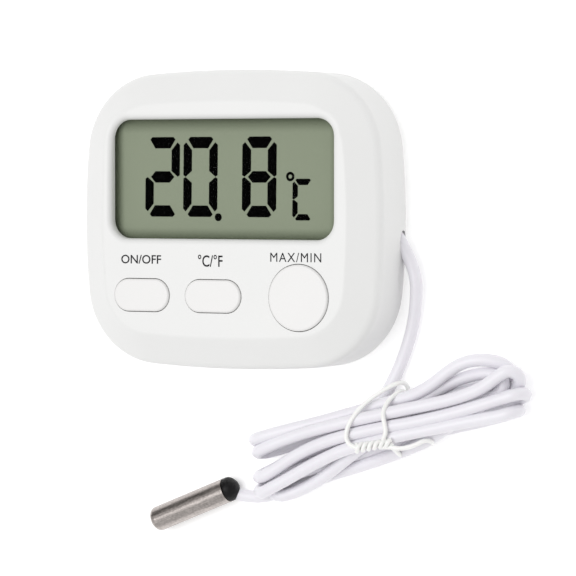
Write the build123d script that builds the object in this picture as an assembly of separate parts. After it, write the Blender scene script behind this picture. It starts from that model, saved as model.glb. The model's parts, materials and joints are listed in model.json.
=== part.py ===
"""Digital thermometer with a remote probe: a soft-cornered two-part case with a segment display,
three keys, a battery door, a fold-out stand, and a thin cord, tied in a hank, that ends in a steel probe.

Millimetres. The case lies on its back: +Z out of the display, +Y towards the case's top edge,
+X towards the side that the cord leaves. The origin is the centre of the case's back face.
"""

import math
import os

from build123d import *

# ---- Case ----
CASE_WIDTH = 67.0
CASE_HEIGHT = 59.2
CASE_DEPTH = 16.0
CORNER_RADIUS = 16.0
SIDE_BOW_RADIUS = 150.0  # the left and right sides are arcs of this radius
END_BOW_RADIUS = 250.0  # the top and bottom sides are arcs of this radius
BEVEL_WIDTH = 6.2
BEVEL_DROP = 3.4
FACE_EDGE_RADIUS = 1.5
BEVEL_EDGE_RADIUS = 2.0
BACK_EDGE_RADIUS = 2.6
WALL = 1.9
PARTING_HEIGHT = 3.2
LIP_HEIGHT = 1.5
FIT = 0.1  # gap all round between the two shells' lip and rebate
LIP_SET_IN = 0.02  # the lip's inner face, past the wall's
SHELL_BITE = 0.6  # how far a rib or post is sunk into the wall that it stands on

# ---- Display ----
WINDOW_WIDTH = 49.8
WINDOW_HEIGHT = 23.7
WINDOW_X = -0.55
WINDOW_Y = 8.0
WINDOW_RADIUS = 3.8
WINDOW_EDGE_RADIUS = 1.3
WINDOW_CENTRE = (WINDOW_X, WINDOW_Y)
LENS_THICKNESS = 1.0
LENS_MARGIN = 1.4
LENS_RADIUS = 4.0
GLASS_WIDTH = 52.4
GLASS_HEIGHT = 26.6
GLASS_THICKNESS = 1.1
GLASS_LEDGE = 2.2  # how far the front glass passes the rear one, over the contacts
REFLECTOR_THICKNESS = 0.2
DISPLAY_GAP = 0.15  # between the lens and the front glass
DISPLAY_FRAME_WALL = 0.8
SHELF_WIDTH = 2.0
DISPLAY_FIT = 0.1
CONTACT_STRIP_WIDTH = 1.6

# ---- Circuit board ----
BOARD_THICKNESS = 1.2
BOARD_TOP = 9.4
BOARD_GAP = 0.7  # from the board's edge to the inside of the case
BOARD_POST_RADIUS = 1.8
BOARD_POSTS = [(-29.0, 7.0), (29.0, 7.0), (-9.5, -23.4), (9.5, -23.4)]
BOARD_SCREW_RADIUS = 0.8
BOARD_SCREW_LENGTH = 3.0
BOARD_SCREW_HEAD_RADIUS = 1.5
BOARD_SCREW_HEAD_HEIGHT = 0.9
SCREW_FIT = 0.03

BLOB_PLACE = (-4.0, 8.5)
BLOB_RADIUS = 4.2
BLOB_HEIGHT = 1.5
BLOB_EDGE_RADIUS = 1.1
CRYSTAL_PLACE = (10.0, 8.0)
CRYSTAL_RADIUS = 1.0
CRYSTAL_LENGTH = 6.0
CRYSTAL_GAP = 0.05
CHIP_COUNT = 6
CHIP_PITCH = 2.6
CHIP_SIZE = (1.6, 1.0, 0.6)
CHIP_START = (-18.0, 0.4)

# ---- Keys ----
KEY_Y = -15.1
ON_OFF_KEY_X = -18.1
UNIT_KEY_X = -1.9
MAX_MIN_KEY_X = 17.1
LONG_KEY_WIDTH = 12.5
LONG_KEY_HEIGHT = 6.45
ROUND_KEY_DIAMETER = 13.0
KEY_FIT = 0.15
KEY_PROUD = 0.5
KEY_EDGE_RADIUS = 0.45
KEY_FLANGE = 0.8
KEY_FLANGE_THICKNESS = 1.0
KEY_REST_GAP = 0.1
KEY_TRAVEL = 0.8
KEY_STEM_RADIUS = 1.9
KEY_SKIN = 0.9
DOME_RADIUS = 3.1
DOME_SKIN = 0.5
DOME_HEIGHT = 2.4
PILL_RADIUS = 1.2
PILL_THICKNESS = 0.4

# ---- Cells, their contacts and the battery door ----
CELL_RADIUS = 5.8
CELL_HEIGHT = 5.4
CELL_SPACING = 13.4
CELL_Y = -17.0
CELL_FIT = 0.3
CELL_STEP = 0.4  # height of the raised cap
CELL_CAP_INSET = 1.2
CELL_EDGE_RADIUS = 0.5
LEAF_HALF_WIDTH = 1.2
SIDE_CONTACT_HALF_WIDTH = 1.5
BAY_WALL = 1.1
CONTACT_THICKNESS = 0.25
CONTACT_FIT = 0.02
DOOR_THICKNESS = 1.4
DOOR_OVERLAP = 1.1  # how far the door passes the opening that it covers
DOOR_TAB_REACH = 0.9
DOOR_TAB_THICKNESS = 0.6
DOOR_FIT = 0.15
DOOR_TAB_LENGTH = 4.0
DOOR_TAB_ENDS = (0.0, 12.0)  # distance of each tab's upper end from the door's top edge
DOOR_TRAVEL = 7.0  # the tabs then stand in their notches, and the door lifts off
DOOR_GRIPS = 4
DOOR_GRIP_PITCH = 1.5
DOOR_GRIP_SIZE = (12.0, 0.7, 0.35)
DOOR_GRIP_START = 5.0  # from the case's bottom edge

# ---- Case screws and hooks ----
CASE_SCREWS = [(-27.0, -18.0), (27.0, -18.0)]
CASE_SCREW_RADIUS = 1.1
CASE_SCREW_LENGTH = 8.0
CASE_SCREW_HEAD_RADIUS = 1.95
CASE_SCREW_HEAD_HEIGHT = 1.4
CASE_SCREW_SEAT = 3.4  # height of the shoulder that the heads pull against
SLEEVE_RADIUS = 3.0
SLEEVE_TOP = 7.6
POST_RADIUS = 2.1
HOOK_X = 14.0
HOOK_WIDTH = 5.0
HOOK_HEIGHT = 3.6
HOOK_THICKNESS = 1.0
HOOK_NIB = 0.6

# ---- Fold-out stand ----
LEG_WIDTH = 20.0
LEG_LENGTH = 21.0
LEG_THICKNESS = 1.3
LEG_HINGE_Y = 17.5
LEG_BARREL_RADIUS = 1.05
LEG_PIN_RADIUS = 0.55
LEG_PIN_FIT = 0.05
LEG_SIDE_GAP = 0.35
LEG_WINDOW = (8.0, 9.0)
LEG_HEEL_LENGTH = 1.97  # from the hinge's axis; it meets the pocket's ceiling and stops the leg
LEG_HEEL_THICKNESS = 0.7
LEG_HEEL_ANGLE = -10.0
LEG_HEEL_WIDTH = 6.0
SCOOP_RADIUS = 4.6
SCOOP_DEPTH = 1.2
POCKET_WALL = 1.0
POCKET_GAP = 0.35  # between the folded leg and the pocket's ceiling

# ---- Cord, hank, tie and probe ----
CORD_DIAMETER = 2.5
CORD_FIT = 0.05
CORD_HEIGHT = PARTING_HEIGHT  # where it passes the side wall
# From the clamp inside the case, through the side wall, and along the table to the hank.
# It and the hank, the tie and the probe keep their distance from the case's side.
LEAD_ROUTE = [
    (CASE_WIDTH / 2 - 6.0, 3.2, CORD_HEIGHT),
    (CASE_WIDTH / 2 + 2.7, -7.4, 2.9),
    (CASE_WIDTH / 2 + 2.1, -19.0, 1.5),
    (CASE_WIDTH / 2 - 1.7, -29.5, 1.25),
    (CASE_WIDTH / 2 - 6.5, -37.2, 1.25),
]
HANK_CENTRE = (CASE_WIDTH / 2 - 2.1, -40.6)
HANK_ANGLE = 17.0
# Outline of the hank about its centre, anticlockwise from the right end, in its own axes.
HANK_OUTLINE = [
    (30.6, -4.9),
    (30.9, 4.6),
    (25.5, 9.3),
    (15.5, 9.0),
    (0.0, 5.9),
    (-16.0, 6.6),
    (-31.2, 7.0),
    (-32.9, -6.3),
    (-27.0, -9.0),
    (-19.5, -8.4),
    (0.0, -5.4),
    (16.0, -4.6),
]
HANK_HEIGHT = 7.2
HANK_CORNER_RADIUS = 2.0
HANK_EDGE_RADIUS = 1.6
TIE_X = 5.2  # along the hank, from its centre
TIE_LOW_Y = -5.3
TIE_HIGH_Y = 7.0
TIE_THICKNESS = 0.7
TIE_WIDTH = 2.0
TIE_TAIL_RADIUS = 0.9
TIE_TAIL_LENGTH = 11.0
TIE_TAIL_X = 0.5
TIE_TAIL_Y = -3.2
PROBE_RADIUS = 2.5
PROBE_LENGTH = 18.2
PROBE_WALL = 0.35
PROBE_TIP_RADIUS = 1.2
PROBE_TIP = (CASE_WIDTH / 2 - 56.5, -61.6)
PROBE_ANGLE = 22.4
POTTING_PROUD = 2.4
POTTING_EDGE_RADIUS = 1.1
CORD_IN_POTTING = 2.0  # how far the jacket's end is set in
TAIL_BEND = (CASE_WIDTH / 2 - 36.1, -54.3, 1.7)
TAIL_END = (CASE_WIDTH / 2 - 31.1, -54.9, 1.4)  # under the hank
BEAD_RADIUS = 0.9
BEAD_LENGTH = 2.6
SENSOR_WIRE_RADIUS = 0.3
SENSOR_WIRE_REACH = 3.2  # from the jacket's end to below the board's pads

# ---- Heights worked out from the sizes above ----
FRONT_INSIDE = CASE_DEPTH - WALL
LENS_BOTTOM = FRONT_INSIDE - LENS_THICKNESS
GLASS_TOP = LENS_BOTTOM - DISPLAY_GAP
REAR_GLASS_TOP = GLASS_TOP - GLASS_THICKNESS
REAR_GLASS_BOTTOM = REAR_GLASS_TOP - GLASS_THICKNESS
BOARD_BOTTOM = BOARD_TOP - BOARD_THICKNESS
FLANGE_TOP = FRONT_INSIDE - KEY_REST_GAP
FLANGE_BOTTOM = FLANGE_TOP - KEY_FLANGE_THICKNESS
DOME_TOP = BOARD_TOP + DOME_HEIGHT
CELL_BOTTOM = DOOR_THICKNESS + CELL_FIT
CELL_TOP = CELL_BOTTOM + CELL_HEIGHT
LEG_AXIS_HEIGHT = LEG_BARREL_RADIUS + 0.1
POCKET_TOP = LEG_AXIS_HEIGHT + LEG_BARREL_RADIUS + POCKET_GAP
LEG_END_Y = LEG_HINGE_Y - LEG_LENGTH


def outline(inset: float) -> Sketch:
    """The case's rounded outline, moved inwards by inset: four shallow arcs and four corner arcs."""
    half_width = CASE_WIDTH / 2 - inset
    half_height = CASE_HEIGHT / 2 - inset
    side_radius = SIDE_BOW_RADIUS - inset
    end_radius = END_BOW_RADIUS - inset
    shape = Pos(half_width - side_radius, 0) * Circle(side_radius)
    shape &= Pos(side_radius - half_width, 0) * Circle(side_radius)
    shape &= Pos(0, half_height - end_radius) * Circle(end_radius)
    shape &= Pos(0, end_radius - half_height) * Circle(end_radius)
    return fillet(shape.vertices(), CORNER_RADIUS - inset)


def case_form(inset: float, soft: bool = False) -> Part:
    """The whole case as one block, moved inwards by inset, with its edges rounded if soft."""
    form = extrude(Pos(0, 0, inset) * outline(inset), CASE_DEPTH - 2 * inset)
    top = form.faces().sort_by(Axis.Z)[-1]
    form = chamfer(top.edges(), BEVEL_WIDTH, BEVEL_DROP, reference=top)
    if soft:
        form = fillet(form.faces().sort_by(Axis.Z)[-1].edges(), FACE_EDGE_RADIUS)
        form = fillet(edges_at(form, CASE_DEPTH - BEVEL_DROP), BEVEL_EDGE_RADIUS)
        form = fillet(form.faces().sort_by(Axis.Z)[0].edges(), BACK_EDGE_RADIUS)
    return form


def edges_at(form: Part, height: float) -> ShapeList:
    """The edges of form that lie flat at this height."""
    return form.edges().filter_by_position(Axis.Z, height - 0.01, height + 0.01)


def slab(low: float, high: float) -> Part:
    """A block wider than the case between two heights."""
    span = 2 * (CASE_WIDTH + CASE_HEIGHT)
    return Pos(0, 0, (low + high) / 2) * Box(span, span, high - low)


def column(x: float, y: float, radius: float, low: float, high: float) -> Part:
    """An upright cylinder between two heights."""
    return Pos(x, y, (low + high) / 2) * Cylinder(radius, high - low)


def block(low: tuple, high: tuple) -> Part:
    """A box from its two opposite corners."""
    centre = [(a + b) / 2 for a, b in zip(low, high)]
    return Pos(*centre) * Box(*[b - a for a, b in zip(low, high)])


def rounded_plate(width: float, height: float, radius: float, centre: tuple, low: float, high: float) -> Part:
    """A rounded rectangle between two heights."""
    return extrude(Pos(*centre, low) * RectangleRounded(width, height, radius), high - low)


# ---- Keys ----


def key_shapes() -> dict:
    """Each key's name, its centre and its plan grown by a margin."""

    def long_key(margin: float) -> Sketch:
        return SlotOverall(LONG_KEY_WIDTH + 2 * margin, LONG_KEY_HEIGHT + 2 * margin)

    def round_key(margin: float) -> Sketch:
        return Circle(ROUND_KEY_DIAMETER / 2 + margin)

    return {
        "on_off": (ON_OFF_KEY_X, long_key),
        "unit": (UNIT_KEY_X, long_key),
        "max_min": (MAX_MIN_KEY_X, round_key),
    }


def keycap(x: float, plan) -> Part:
    """A hollow key with a flange that stops under the front wall and a stem that stands on its dome."""
    top = CASE_DEPTH + KEY_PROUD
    cap = extrude(Pos(x, KEY_Y, FLANGE_BOTTOM) * plan(0), top - FLANGE_BOTTOM)
    cap = fillet(cap.faces().sort_by(Axis.Z)[-1].edges(), KEY_EDGE_RADIUS)
    cap += extrude(Pos(x, KEY_Y, FLANGE_BOTTOM) * plan(KEY_FLANGE), KEY_FLANGE_THICKNESS)
    cap -= extrude(Pos(x, KEY_Y, FLANGE_BOTTOM) * plan(-KEY_SKIN), top - KEY_SKIN - FLANGE_BOTTOM)
    return cap + column(x, KEY_Y, KEY_STEM_RADIUS, DOME_TOP, top - KEY_SKIN / 2)


def dome(x: float) -> Part:
    """A soft dome under a key: a tapered skin, open below, standing on the board."""
    outer = Pos(x, KEY_Y, BOARD_TOP + DOME_HEIGHT / 2) * Cone(DOME_RADIUS, KEY_STEM_RADIUS, DOME_HEIGHT)
    hollow_height = DOME_HEIGHT - DOME_SKIN
    hollow = Cone(DOME_RADIUS - DOME_SKIN, KEY_STEM_RADIUS - DOME_SKIN / 2, hollow_height)
    return outer - Pos(x, KEY_Y, BOARD_TOP + hollow_height / 2) * hollow


def pill(x: float) -> Part:
    """The carbon pill under a dome's crown, which bridges the board's contacts."""
    high = DOME_TOP - DOME_SKIN
    return column(x, KEY_Y, PILL_RADIUS, high - PILL_THICKNESS, high)


# ---- Cord path helpers ----


def bend_radii(points: list) -> list:
    """As large an arc at each corner of a route as its two runs leave room for."""
    radii = []
    for before, here, after in zip(points, points[1:], points[2:]):
        run_in = Vector(*here) - Vector(*before)
        run_out = Vector(*after) - Vector(*here)
        half_turn = math.radians(run_in.get_angle(run_out)) / 2
        radii.append(0.45 * min(run_in.length, run_out.length) / math.tan(half_turn))
    return radii


def tube(points: list, radius: float, name: str = "") -> Part:
    """A round tube along straight runs joined by tangent arcs; a name prints its bends and volume."""
    if len(points) > 2:
        radii = bend_radii(points)
        path = FilletPolyline(*points, radius=radii)
    else:
        radii = []
        path = Line(*points)
    profile = Plane(origin=path @ 0, z_dir=path % 0) * Circle(radius)
    solid = sweep(profile, path=path)
    if name:
        expected = math.pi * radius**2 * path.length
        bends = ", ".join(f"{r:.1f}" for r in radii)
        print(f"{name}: length {path.length:.1f}, bends [{bends}], volume {solid.volume:.1f} of {expected:.1f}")
    return solid


def probe_frame() -> Location:
    """At the probe's tip, on its axis, with X along the probe towards its cord."""
    return Pos(PROBE_TIP[0], PROBE_TIP[1], PROBE_RADIUS) * Rot(0, 0, PROBE_ANGLE)


def along_probe(distance: float) -> tuple:
    """A point on the probe's axis."""
    angle = math.radians(PROBE_ANGLE)
    return (
        PROBE_TIP[0] + distance * math.cos(angle),
        PROBE_TIP[1] + distance * math.sin(angle),
        PROBE_RADIUS,
    )


def probe_rod(start: float, length: float, radius: float) -> Part:
    """A cylinder on the probe's axis."""
    return probe_frame() * Pos(start + length / 2, 0, 0) * Rot(0, 90, 0) * Cylinder(radius, length)


# ---- Shells ----


def cell_centres() -> list:
    """Plan positions of the two button cells."""
    return [(-CELL_SPACING / 2, CELL_Y), (CELL_SPACING / 2, CELL_Y)]


def bay_plan(margin: float) -> Sketch:
    """The slot-shaped plan that holds both cells, grown by a margin."""
    radius = CELL_RADIUS + CELL_FIT + margin
    return Pos(0, CELL_Y) * SlotOverall(CELL_SPACING + 2 * radius, 2 * radius)


def door_half_width() -> float:
    """Half the door's width, without its tabs."""
    return CELL_SPACING / 2 + CELL_RADIUS + DOOR_OVERLAP


def door_top_y() -> float:
    """Where the door's upper edge is."""
    return CELL_Y + CELL_RADIUS + DOOR_OVERLAP


def door_space(fit: float) -> Part:
    """The room cut for the door: its plate, the grooves that its tabs slide in, and the notches they leave by."""
    half = door_half_width()
    outside = -CASE_HEIGHT
    plate = block((-half - fit, outside, -1.0), (half + fit, door_top_y() + fit, DOOR_THICKNESS + fit))
    grooves = tab_block(outside, door_top_y() + fit, DOOR_THICKNESS / 2 - tab_half_height() - fit, fit)
    notches = plate
    for distance in DOOR_TAB_ENDS:
        high_y = door_top_y() - distance - DOOR_TRAVEL
        notches += tab_block(high_y - DOOR_TAB_LENGTH - fit, high_y + fit, -1.0, fit)
    return notches + grooves


def tab_half_height() -> float:
    """Half a tab's thickness."""
    return DOOR_TAB_THICKNESS / 2


def tab_block(low_y: float, high_y: float, low: float, fit: float) -> Part:
    """A bar across the door and its tabs on both sides, up to the tabs' upper face, grown by a fit."""
    reach = door_half_width() + DOOR_TAB_REACH + fit
    return block((-reach, low_y, low), (reach, high_y, DOOR_THICKNESS / 2 + tab_half_height() + fit))


def pocket(margin: float, high: float) -> Part:
    """The recess in the back that the stand's leg folds into, grown by a margin."""
    half = LEG_WIDTH / 2 + LEG_SIDE_GAP + margin
    low_y = LEG_END_Y - LEG_SIDE_GAP - margin
    high_y = LEG_HINGE_Y + LEG_HEEL_LENGTH + LEG_SIDE_GAP + margin
    return block((-half, low_y, -1.0), (half, high_y, high))


def cord_hole() -> Part:
    """The lead's own path through the side wall, with a little room."""
    return tube(LEAD_ROUTE[:3], CORD_DIAMETER / 2 + CORD_FIT)


def rear_shell() -> Part:
    """The shallow back: cell bay, stand pocket, screw sleeves, lip and hooks."""
    cavity = case_form(WALL)
    shell = (case_form(0, soft=True) & slab(-1, PARTING_HEIGHT)) - cavity
    shell += lip(WALL / 2 + FIT, WALL + LIP_SET_IN)
    bay = extrude(Pos(0, 0, WALL - SHELL_BITE) * bay_plan(BAY_WALL), CELL_TOP - WALL + SHELL_BITE)
    shell += bay
    shell += pocket(POCKET_WALL, POCKET_TOP + POCKET_WALL) & slab(WALL - SHELL_BITE, BOARD_BOTTOM)
    within_front = extrude(outline(WALL + 2 * FIT), SLEEVE_TOP)
    for x, y in CASE_SCREWS:
        shell += column(x, y, SLEEVE_RADIUS, WALL - SHELL_BITE, SLEEVE_TOP) & within_front
    for side in (-1, 1):
        shell += hook(side * HOOK_X, hook_wall_y())
    shell -= extrude(Pos(0, 0, -1) * bay_plan(0), CELL_TOP + 2)
    shell -= door_space(DOOR_FIT)
    shell -= pocket(0, POCKET_TOP)
    shell -= leg_finger_scoop()
    shell -= Pos(0, LEG_HINGE_Y, LEG_AXIS_HEIGHT) * Rot(0, 90, 0) * Cylinder(
        LEG_PIN_RADIUS + SCREW_FIT, pin_length() + 2 * SCREW_FIT
    )
    for x, y in CASE_SCREWS:
        shell -= column(x, y, CASE_SCREW_HEAD_RADIUS + 0.25, -1, CASE_SCREW_SEAT)
        shell -= column(x, y, CASE_SCREW_RADIUS + 0.15, -1, SLEEVE_TOP + 1)
    for x, y in cell_centres():
        shell -= side_contact(x, y, CONTACT_FIT)
    return shell - cord_hole()


def hook_wall_y() -> float:
    """Where the top wall's inner face is, at the hooks."""
    sagitta = END_BOW_RADIUS * (1 - math.cos(math.asin(HOOK_X / END_BOW_RADIUS)))
    return CASE_HEIGHT / 2 - WALL - sagitta


def lip(outer_inset: float, inner_inset: float) -> Part:
    """The rear shell's raised lip, between two insets of the outline, seated a little into the wall."""
    low = PARTING_HEIGHT - SHELL_BITE
    ring = outline(outer_inset) - outline(inner_inset)
    return extrude(Pos(0, 0, low) * ring, LIP_HEIGHT + SHELL_BITE)


def hook(x: float, root_y: float) -> Part:
    """A springy tongue by the top wall with a nib that snaps into the front shell."""
    gap = FIT + 0.25
    tongue = block(
        (x - HOOK_WIDTH / 2, root_y - gap - HOOK_THICKNESS, WALL - SHELL_BITE),
        (x + HOOK_WIDTH / 2, root_y - gap, PARTING_HEIGHT + LIP_HEIGHT + HOOK_HEIGHT),
    )
    nib_low = PARTING_HEIGHT + LIP_HEIGHT + HOOK_HEIGHT / 2
    nib = block(
        (x - HOOK_WIDTH / 2, root_y - gap - 0.2, nib_low),
        (x + HOOK_WIDTH / 2, root_y - gap + HOOK_NIB, nib_low + 1.0),
    )
    return tongue + nib


def hook_pockets() -> Part:
    """The slots in the front shell's top wall that the nibs snap into."""
    root_y = hook_wall_y()
    low = PARTING_HEIGHT + LIP_HEIGHT + HOOK_HEIGHT / 2 - FIT
    cut = None
    for side in (-1, 1):
        x = side * HOOK_X
        slot = block(
            (x - HOOK_WIDTH / 2 - FIT, root_y - 1.0, low),
            (x + HOOK_WIDTH / 2 + FIT, root_y + HOOK_NIB, low + 1.0 + 2 * FIT),
        )
        cut = slot if cut is None else cut + slot
    return cut


def leg_finger_scoop() -> Part:
    """A thumb scoop at the free end of the folded leg."""
    return Pos(0, LEG_END_Y, SCOOP_DEPTH - SCOOP_RADIUS) * Sphere(SCOOP_RADIUS)


def front_shell() -> Part:
    """The deep front: window, key openings, board posts, screw posts and the rebate for the lip."""
    cavity = case_form(WALL)
    shell = (case_form(0, soft=True) & slab(PARTING_HEIGHT, CASE_DEPTH + 1)) - cavity
    posts = None
    for x, y in BOARD_POSTS:
        post = column(x, y, BOARD_POST_RADIUS, BOARD_TOP, CASE_DEPTH)
        posts = post if posts is None else posts + post
    for x, y in CASE_SCREWS:
        posts += column(x, y, POST_RADIUS, SLEEVE_TOP, CASE_DEPTH)
    shell += posts & case_form(WALL / 2)
    rebate = outline(WALL / 2) - outline(WALL + 2 * FIT)
    shell -= extrude(Pos(0, 0, PARTING_HEIGHT - 1) * rebate, LIP_HEIGHT + FIT + 1)
    opening = rounded_plate(
        WINDOW_WIDTH,
        WINDOW_HEIGHT,
        WINDOW_RADIUS,
        WINDOW_CENTRE,
        FRONT_INSIDE - 1,
        CASE_DEPTH + 1,
    )
    shell -= opening
    rim = [
        edge
        for edge in edges_at(shell, CASE_DEPTH)
        if abs(edge.center().X - WINDOW_X) < WINDOW_WIDTH / 2
        and abs(edge.center().Y - WINDOW_Y) < WINDOW_HEIGHT / 2
    ]
    shell = fillet(rim, WINDOW_EDGE_RADIUS)
    shell -= display_room()
    for x, plan in key_shapes().values():
        shell -= extrude(Pos(x, KEY_Y, FRONT_INSIDE - 1) * plan(KEY_FIT), WALL + 2)
        flange_room = FRONT_INSIDE - FLANGE_BOTTOM + KEY_TRAVEL
        shell -= extrude(Pos(x, KEY_Y, FRONT_INSIDE - flange_room) * plan(KEY_FLANGE + KEY_FIT), flange_room)
    for x, y in BOARD_POSTS:
        shell -= column(x, y, BOARD_SCREW_RADIUS + SCREW_FIT, BOARD_TOP - 1, screw_tip(BOARD_BOTTOM))
    for x, y in CASE_SCREWS:
        tip = CASE_SCREW_SEAT + CASE_SCREW_LENGTH + 0.2
        shell -= column(x, y, CASE_SCREW_RADIUS + SCREW_FIT, SLEEVE_TOP - 1, tip)
    shell -= hook_pockets()
    return shell - cord_hole()


def display_room() -> Part:
    """The seat for the lens, and the room for the glass and its frame, where the bevel's wall is in their way."""
    lens = rounded_plate(
        WINDOW_WIDTH + 2 * LENS_MARGIN + 2 * DISPLAY_FIT,
        WINDOW_HEIGHT + 2 * LENS_MARGIN + 2 * DISPLAY_FIT,
        LENS_RADIUS,
        WINDOW_CENTRE,
        LENS_BOTTOM,
        FRONT_INSIDE,
    )
    frame_margin = 2 * (2 * DISPLAY_FIT + DISPLAY_FRAME_WALL)
    frame = Pos(*WINDOW_CENTRE, (BOARD_TOP + LENS_BOTTOM) / 2) * Box(
        GLASS_WIDTH + frame_margin, GLASS_HEIGHT + frame_margin, LENS_BOTTOM - BOARD_TOP
    )
    return lens + frame


def screw_tip(seat: float) -> float:
    """How high a board screw's hole reaches above its seat."""
    return seat + BOARD_SCREW_LENGTH + 0.15


def pin_length() -> float:
    """The stand's pin passes the pocket and most of both pocket walls."""
    return LEG_WIDTH + 2 * (LEG_SIDE_GAP + POCKET_WALL - 0.3)


# ---- Door and stand ----


def battery_door() -> Part:
    """The door's plate takes the case's own rounded bottom edge, and slides on two tabs a side."""
    half = door_half_width()
    door = block((-half, -CASE_HEIGHT, -1.0), (half, door_top_y(), DOOR_THICKNESS))
    for distance in DOOR_TAB_ENDS:
        high_y = door_top_y() - distance
        door += tab_block(high_y - DOOR_TAB_LENGTH, high_y, DOOR_THICKNESS / 2 - tab_half_height(), 0)
    door &= case_form(0, soft=True)
    width, height, depth = DOOR_GRIP_SIZE
    for index in range(DOOR_GRIPS):
        y = -CASE_HEIGHT / 2 + DOOR_GRIP_START + index * DOOR_GRIP_PITCH
        door -= block((-width / 2, y, -1.0), (width / 2, y + height, depth))
    return door


def stand_leg() -> Part:
    """The fold-out leg: a plate with a lightening hole and a barrel on the pin."""
    plate = extrude(
        Pos(0, LEG_HINGE_Y - LEG_LENGTH / 2, LEG_AXIS_HEIGHT - LEG_THICKNESS / 2)
        * Rectangle(LEG_WIDTH, LEG_LENGTH),
        LEG_THICKNESS,
    )
    free_corners = plate.edges().filter_by(Axis.Z).sort_by(Axis.Y)[:2]
    plate = fillet(free_corners, 3.0)
    axis = Pos(0, LEG_HINGE_Y, LEG_AXIS_HEIGHT) * Rot(0, 90, 0)
    leg = plate + axis * Cylinder(LEG_BARREL_RADIUS, LEG_WIDTH)
    leg -= rounded_plate(*LEG_WINDOW, 2.0, (0, LEG_HINGE_Y - LEG_LENGTH / 2), -1.0, 3.0)
    leg += Pos(0, LEG_HINGE_Y, LEG_AXIS_HEIGHT) * Rot(LEG_HEEL_ANGLE, 0, 0) * Pos(
        0, LEG_HEEL_LENGTH / 2, 0
    ) * Box(LEG_HEEL_WIDTH, LEG_HEEL_LENGTH, LEG_HEEL_THICKNESS)
    return leg - axis * Cylinder(LEG_PIN_RADIUS + LEG_PIN_FIT, LEG_WIDTH + 2)


def stand_pin() -> Part:
    """The steel wire that the stand's leg turns on."""
    return Pos(0, LEG_HINGE_Y, LEG_AXIS_HEIGHT) * Rot(0, 90, 0) * Cylinder(LEG_PIN_RADIUS, pin_length())


# ---- Display ----


def window_lens() -> Part:
    """The clear lens, glued to the inside of the front wall."""
    return rounded_plate(
        WINDOW_WIDTH + 2 * LENS_MARGIN,
        WINDOW_HEIGHT + 2 * LENS_MARGIN,
        LENS_RADIUS,
        WINDOW_CENTRE,
        LENS_BOTTOM,
        FRONT_INSIDE,
    )


def glass_plate(low_y_cut: float, high: float, thickness: float) -> Part:
    """One sheet of the display, as large as the glass, cut back at its lower edge."""
    half_width = GLASS_WIDTH / 2
    low_y = WINDOW_Y - GLASS_HEIGHT / 2 + low_y_cut
    return block(
        (WINDOW_X - half_width, low_y, high - thickness),
        (WINDOW_X + half_width, WINDOW_Y + GLASS_HEIGHT / 2, high),
    )


def contact_strip() -> Part:
    """The striped rubber strip that joins the front glass's ledge to the board."""
    low_y = WINDOW_Y - GLASS_HEIGHT / 2 + 0.2
    half_width = GLASS_WIDTH / 2 - 1.5
    return block(
        (WINDOW_X - half_width, low_y, BOARD_TOP),
        (WINDOW_X + half_width, low_y + CONTACT_STRIP_WIDTH, REAR_GLASS_TOP),
    )


def display_frame() -> Part:
    """The plastic frame that centres the glass, with four walls and a floor under the glass's edge."""
    inner = (GLASS_WIDTH + 2 * DISPLAY_FIT, GLASS_HEIGHT + 2 * DISPLAY_FIT)
    outer = [size + 2 * DISPLAY_FRAME_WALL for size in inner]
    middle = Pos(*WINDOW_CENTRE, (BOARD_TOP + GLASS_TOP) / 2)
    frame = middle * (Box(*outer, GLASS_TOP - BOARD_TOP) - Box(*inner, GLASS_TOP - BOARD_TOP + 2))
    shelf_top = REAR_GLASS_BOTTOM - REFLECTOR_THICKNESS
    shelf = Pos(*WINDOW_CENTRE, (BOARD_TOP + shelf_top) / 2) * Box(
        inner[0] + SHELL_BITE, inner[1] + SHELL_BITE, shelf_top - BOARD_TOP
    )
    low_y = WINDOW_Y - GLASS_HEIGHT / 2
    left, right = WINDOW_X - GLASS_WIDTH / 2, WINDOW_X + GLASS_WIDTH / 2
    shelf -= block(
        (left + SHELF_WIDTH, low_y + GLASS_LEDGE + 1.0, 0),
        (right - SHELF_WIDTH, WINDOW_Y + GLASS_HEIGHT / 2 - SHELF_WIDTH, CASE_DEPTH),
    )
    shelf -= block((left + 1.2, low_y, 0), (right - 1.2, low_y + GLASS_LEDGE, CASE_DEPTH))
    return frame + shelf


# ---- Board and what is on it ----


def main_board() -> Part:
    """The circuit board, cut round the screw posts."""
    board = extrude(Pos(0, 0, BOARD_BOTTOM) * outline(WALL + BOARD_GAP), BOARD_THICKNESS)
    for x, y in CASE_SCREWS:
        board -= column(x, y, POST_RADIUS + 0.4, BOARD_BOTTOM - 1, BOARD_TOP + 1)
    for x, y in BOARD_POSTS:
        board -= column(x, y, BOARD_SCREW_RADIUS + 0.1, BOARD_BOTTOM - 1, BOARD_TOP + 1)
    hook_y = CASE_HEIGHT / 2 - WALL - HOOK_THICKNESS - 2.2
    for side in (-1, 1):
        x = side * HOOK_X
        board -= block((x - HOOK_WIDTH / 2 - 0.6, hook_y, 0), (x + HOOK_WIDTH / 2 + 0.6, CASE_HEIGHT, 20))
    return board


def controller_blob() -> Part:
    """The black resin blob over the controller chip, on the back of the board."""
    blob = column(*BLOB_PLACE, BLOB_RADIUS, BOARD_BOTTOM - BLOB_HEIGHT, BOARD_BOTTOM)
    return fillet(blob.faces().sort_by(Axis.Z)[0].edges(), BLOB_EDGE_RADIUS)


def crystal_can() -> Part:
    """The clock crystal, lying on the back of the board."""
    middle = BOARD_BOTTOM - CRYSTAL_RADIUS - CRYSTAL_GAP
    return Pos(*CRYSTAL_PLACE, middle) * Rot(0, 90, 0) * Cylinder(CRYSTAL_RADIUS, CRYSTAL_LENGTH)


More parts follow.
